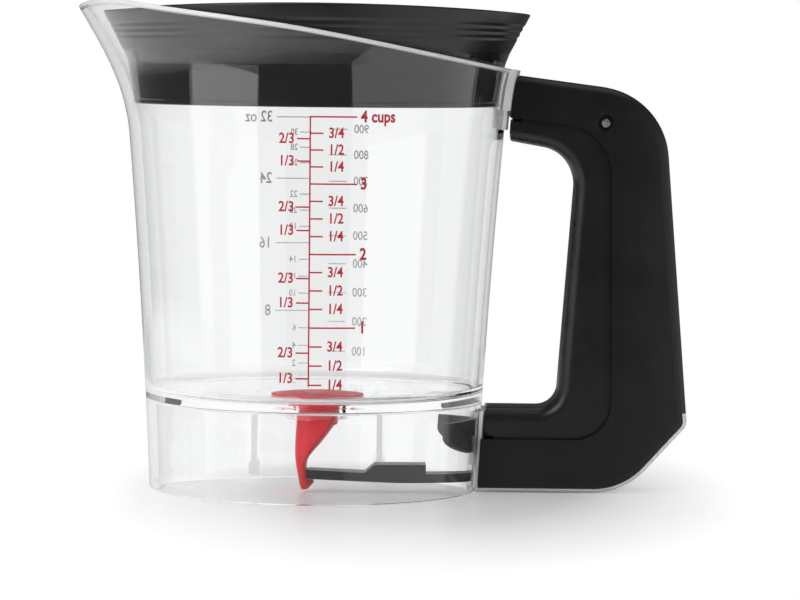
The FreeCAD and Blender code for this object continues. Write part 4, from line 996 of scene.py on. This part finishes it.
def back_scale():
    """Light grey ounces and millilitres on the back wall."""
    scale = Scale("back_scale", 1, BACK_DROP)
    scale.strokes(4, 1.0, 1.0, CUP_STROKE_X, -BACK_INNER_X, BACK_LINE_W)
    for quarter in (0.25, 0.5, 0.75):
        scale.strokes(4, quarter, 1.0, QUARTER_STROKE_X, -BACK_INNER_X, BACK_LINE_W)
    hundred = 100 / ML_PER_CUP
    scale.strokes(9, hundred, hundred, BACK_INNER_X, ML_STROKE_X, BACK_LINE_W)
    for ounces in range(2, 33, 2):
        text = "32 oz" if ounces == 32 else str(ounces)
        scale.words(text, ounces / 8, *(OUNCE_WORDS if ounces % 8 else EIGHTS_WORDS))
    for ml in range(100, 1000, 100):
        scale.words(str(ml), ml / ML_PER_CUP, *ML_WORDS)
    scale.print_on_jug(GREY_INK)


# ---- everything in place ----
make_jug()
make_lid()
make_stopper()
make_spring()
make_root_lip()
front_scale()
back_scale()
dressed("handle_shell", "jug", "handle_plastic", SHELL_BLACK)
dressed("handle_spine", "jug", "clear_plastic", CLEAR_STRIP)
dressed("trigger", "trigger", "trigger_plastic", TRIGGER_BLACK)
dressed("lever_arm", "lever", "lever_plastic", LEVER_GREY)
dressed("anchor_plate", "jug", "lever_plastic", PLATE_GREY)
for metal in ("trigger_pin", "lever_pin", "anchor_screws", "top_screw"):
    dressed(metal, "jug", "steel", STEEL)


# ---- stage, in metres ----
FLOOR_HALF, FLOOR_DROP = 3.0, 0.0002
SHADE_POOL_MIDDLE, SHADE_POOL_SCALE = (0.015, 0, 0), (1 / 0.105, 1 / 0.20, 1)     # painted shade: the floor stays greyer round the jug, on top of its real shadow
SHADE_POOL_EDGE, SHADE_POOL_WHITE = (0.45, 1.0), (0.13, 1.0)
TABLE_MIDDLE, TABLE_EDGE = (-0.10, 0.16, 0), (0.33, 0.43)     # where the polished lid mirrors a pale floor
ROOM_DARK, ROOM_LIGHT = 0.10, 0.55      # the room in mirrored views, and as it lights dull surfaces
BACK_WALL_Y, BACK_WALL_Z = 0.75, -0.28  # directions beyond these look level at the white back wall
CAMERA_X, CAMERA_Y, CAMERA_Z = (28.5 + AXIS_X) * MM, -1.2327, 0.14845
CAMERA_DIP, CAMERA_ROLL, LENS = 3.96, 0.65, 165.6    # degrees, and millimetres of the lens
LAMPS = (       # name, place, point that it faces, width, height, power
    ("left_softbox", (-0.73, -0.474, 0.09), (-0.02, 0, 0.09), 0.70, 0.72, 1.9),
    ("right_softbox", (0.92, -0.23, -0.225), (-0.02, 0, -0.225), 2.66, 1.35, 6.3),
    ("top_softbox", (0.05, 0.10, 1.0), (0, 0, 0.05), 0.9, 0.8, 2.4),
    ("key_softbox", (-0.60, -0.70, 0.70), (0, 0, 0.08), 0.6, 0.6, 3.6),
)


def seen_directly(nodes, backwards=1.0, level=0.0):
    """Links: 1 where the studio shows white, 1 for views mirrored off the object, and the ray kinds.

    White are straight views and views through clear plastic. Of those that also mirrored on their way, the
    long ones count if backwards is 1, and the short ones if level is 1.
    """
    path = nodes.add("ShaderNodeLightPath")
    bounces = nodes.plus(path.outputs["Glossy Depth"], path.outputs["Diffuse Depth"])
    plain = nodes.maths("LESS_THAN", bounces, 0.5)
    deep = nodes.above(path.outputs["Transmission Depth"], MANY_WALLS)
    clean = nodes.most(plain, nodes.most(nodes.times(deep, backwards), level))
    through = nodes.times(path.outputs["Is Transmission Ray"], clean)
    long = nodes.times(long_way(nodes, path), backwards)
    seen = nodes.most(path.outputs["Is Camera Ray"], nodes.most(through, long))
    return seen, nodes.minus(1.0, nodes.most(clean, long)), path


def reach_from(finish, middle, scale, near_far, values):
    """A value that changes with the stretched distance of a place from a point."""
    reach = finish.place
    for operation, other in (("SUBTRACT", middle), ("MULTIPLY", scale)):
        step = finish.add("ShaderNodeVectorMath", {0: reach, 1: other}, operation=operation)
        reach = step.outputs["Vector"]
    length = finish.add("ShaderNodeVectorMath", {0: reach}, operation="LENGTH").outputs["Value"]
    return finish.spread(length, *values, *near_far)


def make_floor():
    mesh = bpy.data.meshes.new("floor")
    corners = [(x * FLOOR_HALF, y * FLOOR_HALF, 0) for x, y in ((-1, -1), (1, -1), (1, 1), (-1, 1))]
    mesh.from_pydata(corners, [], [(0, 1, 2, 3)])
    floor = placed("floor", mesh)
    floor.location.z = -FLOOR_DROP
    finish = Finish("floor_white", Base_Color=(0.86, 0.865, 0.87, 1), Roughness=0.35, Specular_IOR_Level=0.25)
    seen, mirrored, path = seen_directly(finish)
    # painted shade: near the jug the floor keeps its lit grey, further out it glows white, so a grey pool
    # lies round the jug besides its real shadow
    shade_pool_share = reach_from(finish, SHADE_POOL_MIDDLE, SHADE_POOL_SCALE, SHADE_POOL_EDGE, SHADE_POOL_WHITE)
    glow = finish.add("ShaderNodeEmission", {"Color": (1, 1, 1, 1), "Strength": 1.0}).outputs["Emission"]
    pale = finish.blended(finish.times(seen, shade_pool_share), finish.shader.outputs["BSDF"], glow)
    clear = finish.add("ShaderNodeBsdfTransparent").outputs["BSDF"]
    off_table = reach_from(finish, TABLE_MIDDLE, (1, 1, 1), TABLE_EDGE, (0.0, 1.0))
    unseen = finish.times(finish.times(path.outputs["Is Glossy Ray"], mirrored), off_table)
    finish.surface(finish.blended(unseen, pale, clear))
    mesh.materials.append(finish.material)


def make_world():
    world = bpy.data.worlds.new("studio")
    bpy.context.scene.world = world
    world.use_nodes = True
    nodes = Nodes(world.node_tree)
    direction = nodes.add("ShaderNodeTexCoord").outputs["Generated"]
    split = nodes.add("ShaderNodeSeparateXYZ", {"Vector": direction})
    y, z = split.outputs["Y"], split.outputs["Z"]
    level = nodes.times(nodes.above(y, BACK_WALL_Y), nodes.above(z, BACK_WALL_Z))
    white, _, path = seen_directly(nodes, nodes.above(y, 0.0), level)
    room = nodes.spread(path.outputs["Is Diffuse Ray"], ROOM_DARK, ROOM_LIGHT, 0.0, 1.0)
    sky = world.node_tree.nodes["Background"]
    nodes.feed(sky.inputs["Color"], (1, 1, 1, 1))
    nodes.feed(sky.inputs["Strength"], nodes.most(white, room))


def softbox(name, place, aim, width, height, power):
    lamp = bpy.data.lights.new(name, "AREA")
    lamp.shape, lamp.size, lamp.size_y, lamp.energy = "RECTANGLE", width, height, power
    light = placed(name, lamp)
    light.location = place
    light.rotation_euler = (Vector(aim) - Vector(place)).to_track_quat("-Z", "Y").to_euler()


def make_camera():
    """Long lens, a little above the jug, with a slight roll."""
    camera = bpy.data.cameras.new("camera")
    camera.sensor_width, camera.lens, camera.clip_end = 36.0, LENS, 50.0
    holder = placed("camera", camera)
    holder.location = (CAMERA_X, CAMERA_Y, CAMERA_Z)
    pitch, roll = math.radians(90 - CAMERA_DIP), math.radians(CAMERA_ROLL)
    holder.rotation_euler = (Matrix.Rotation(pitch, 3, "X") @ Matrix.Rotation(roll, 3, "Z")).to_euler()
    bpy.context.scene.camera = holder


make_camera()
make_floor()
make_world()
for settings in LAMPS:
    softbox(*settings)
bpy.context.scene.view_settings.view_transform = "Standard"
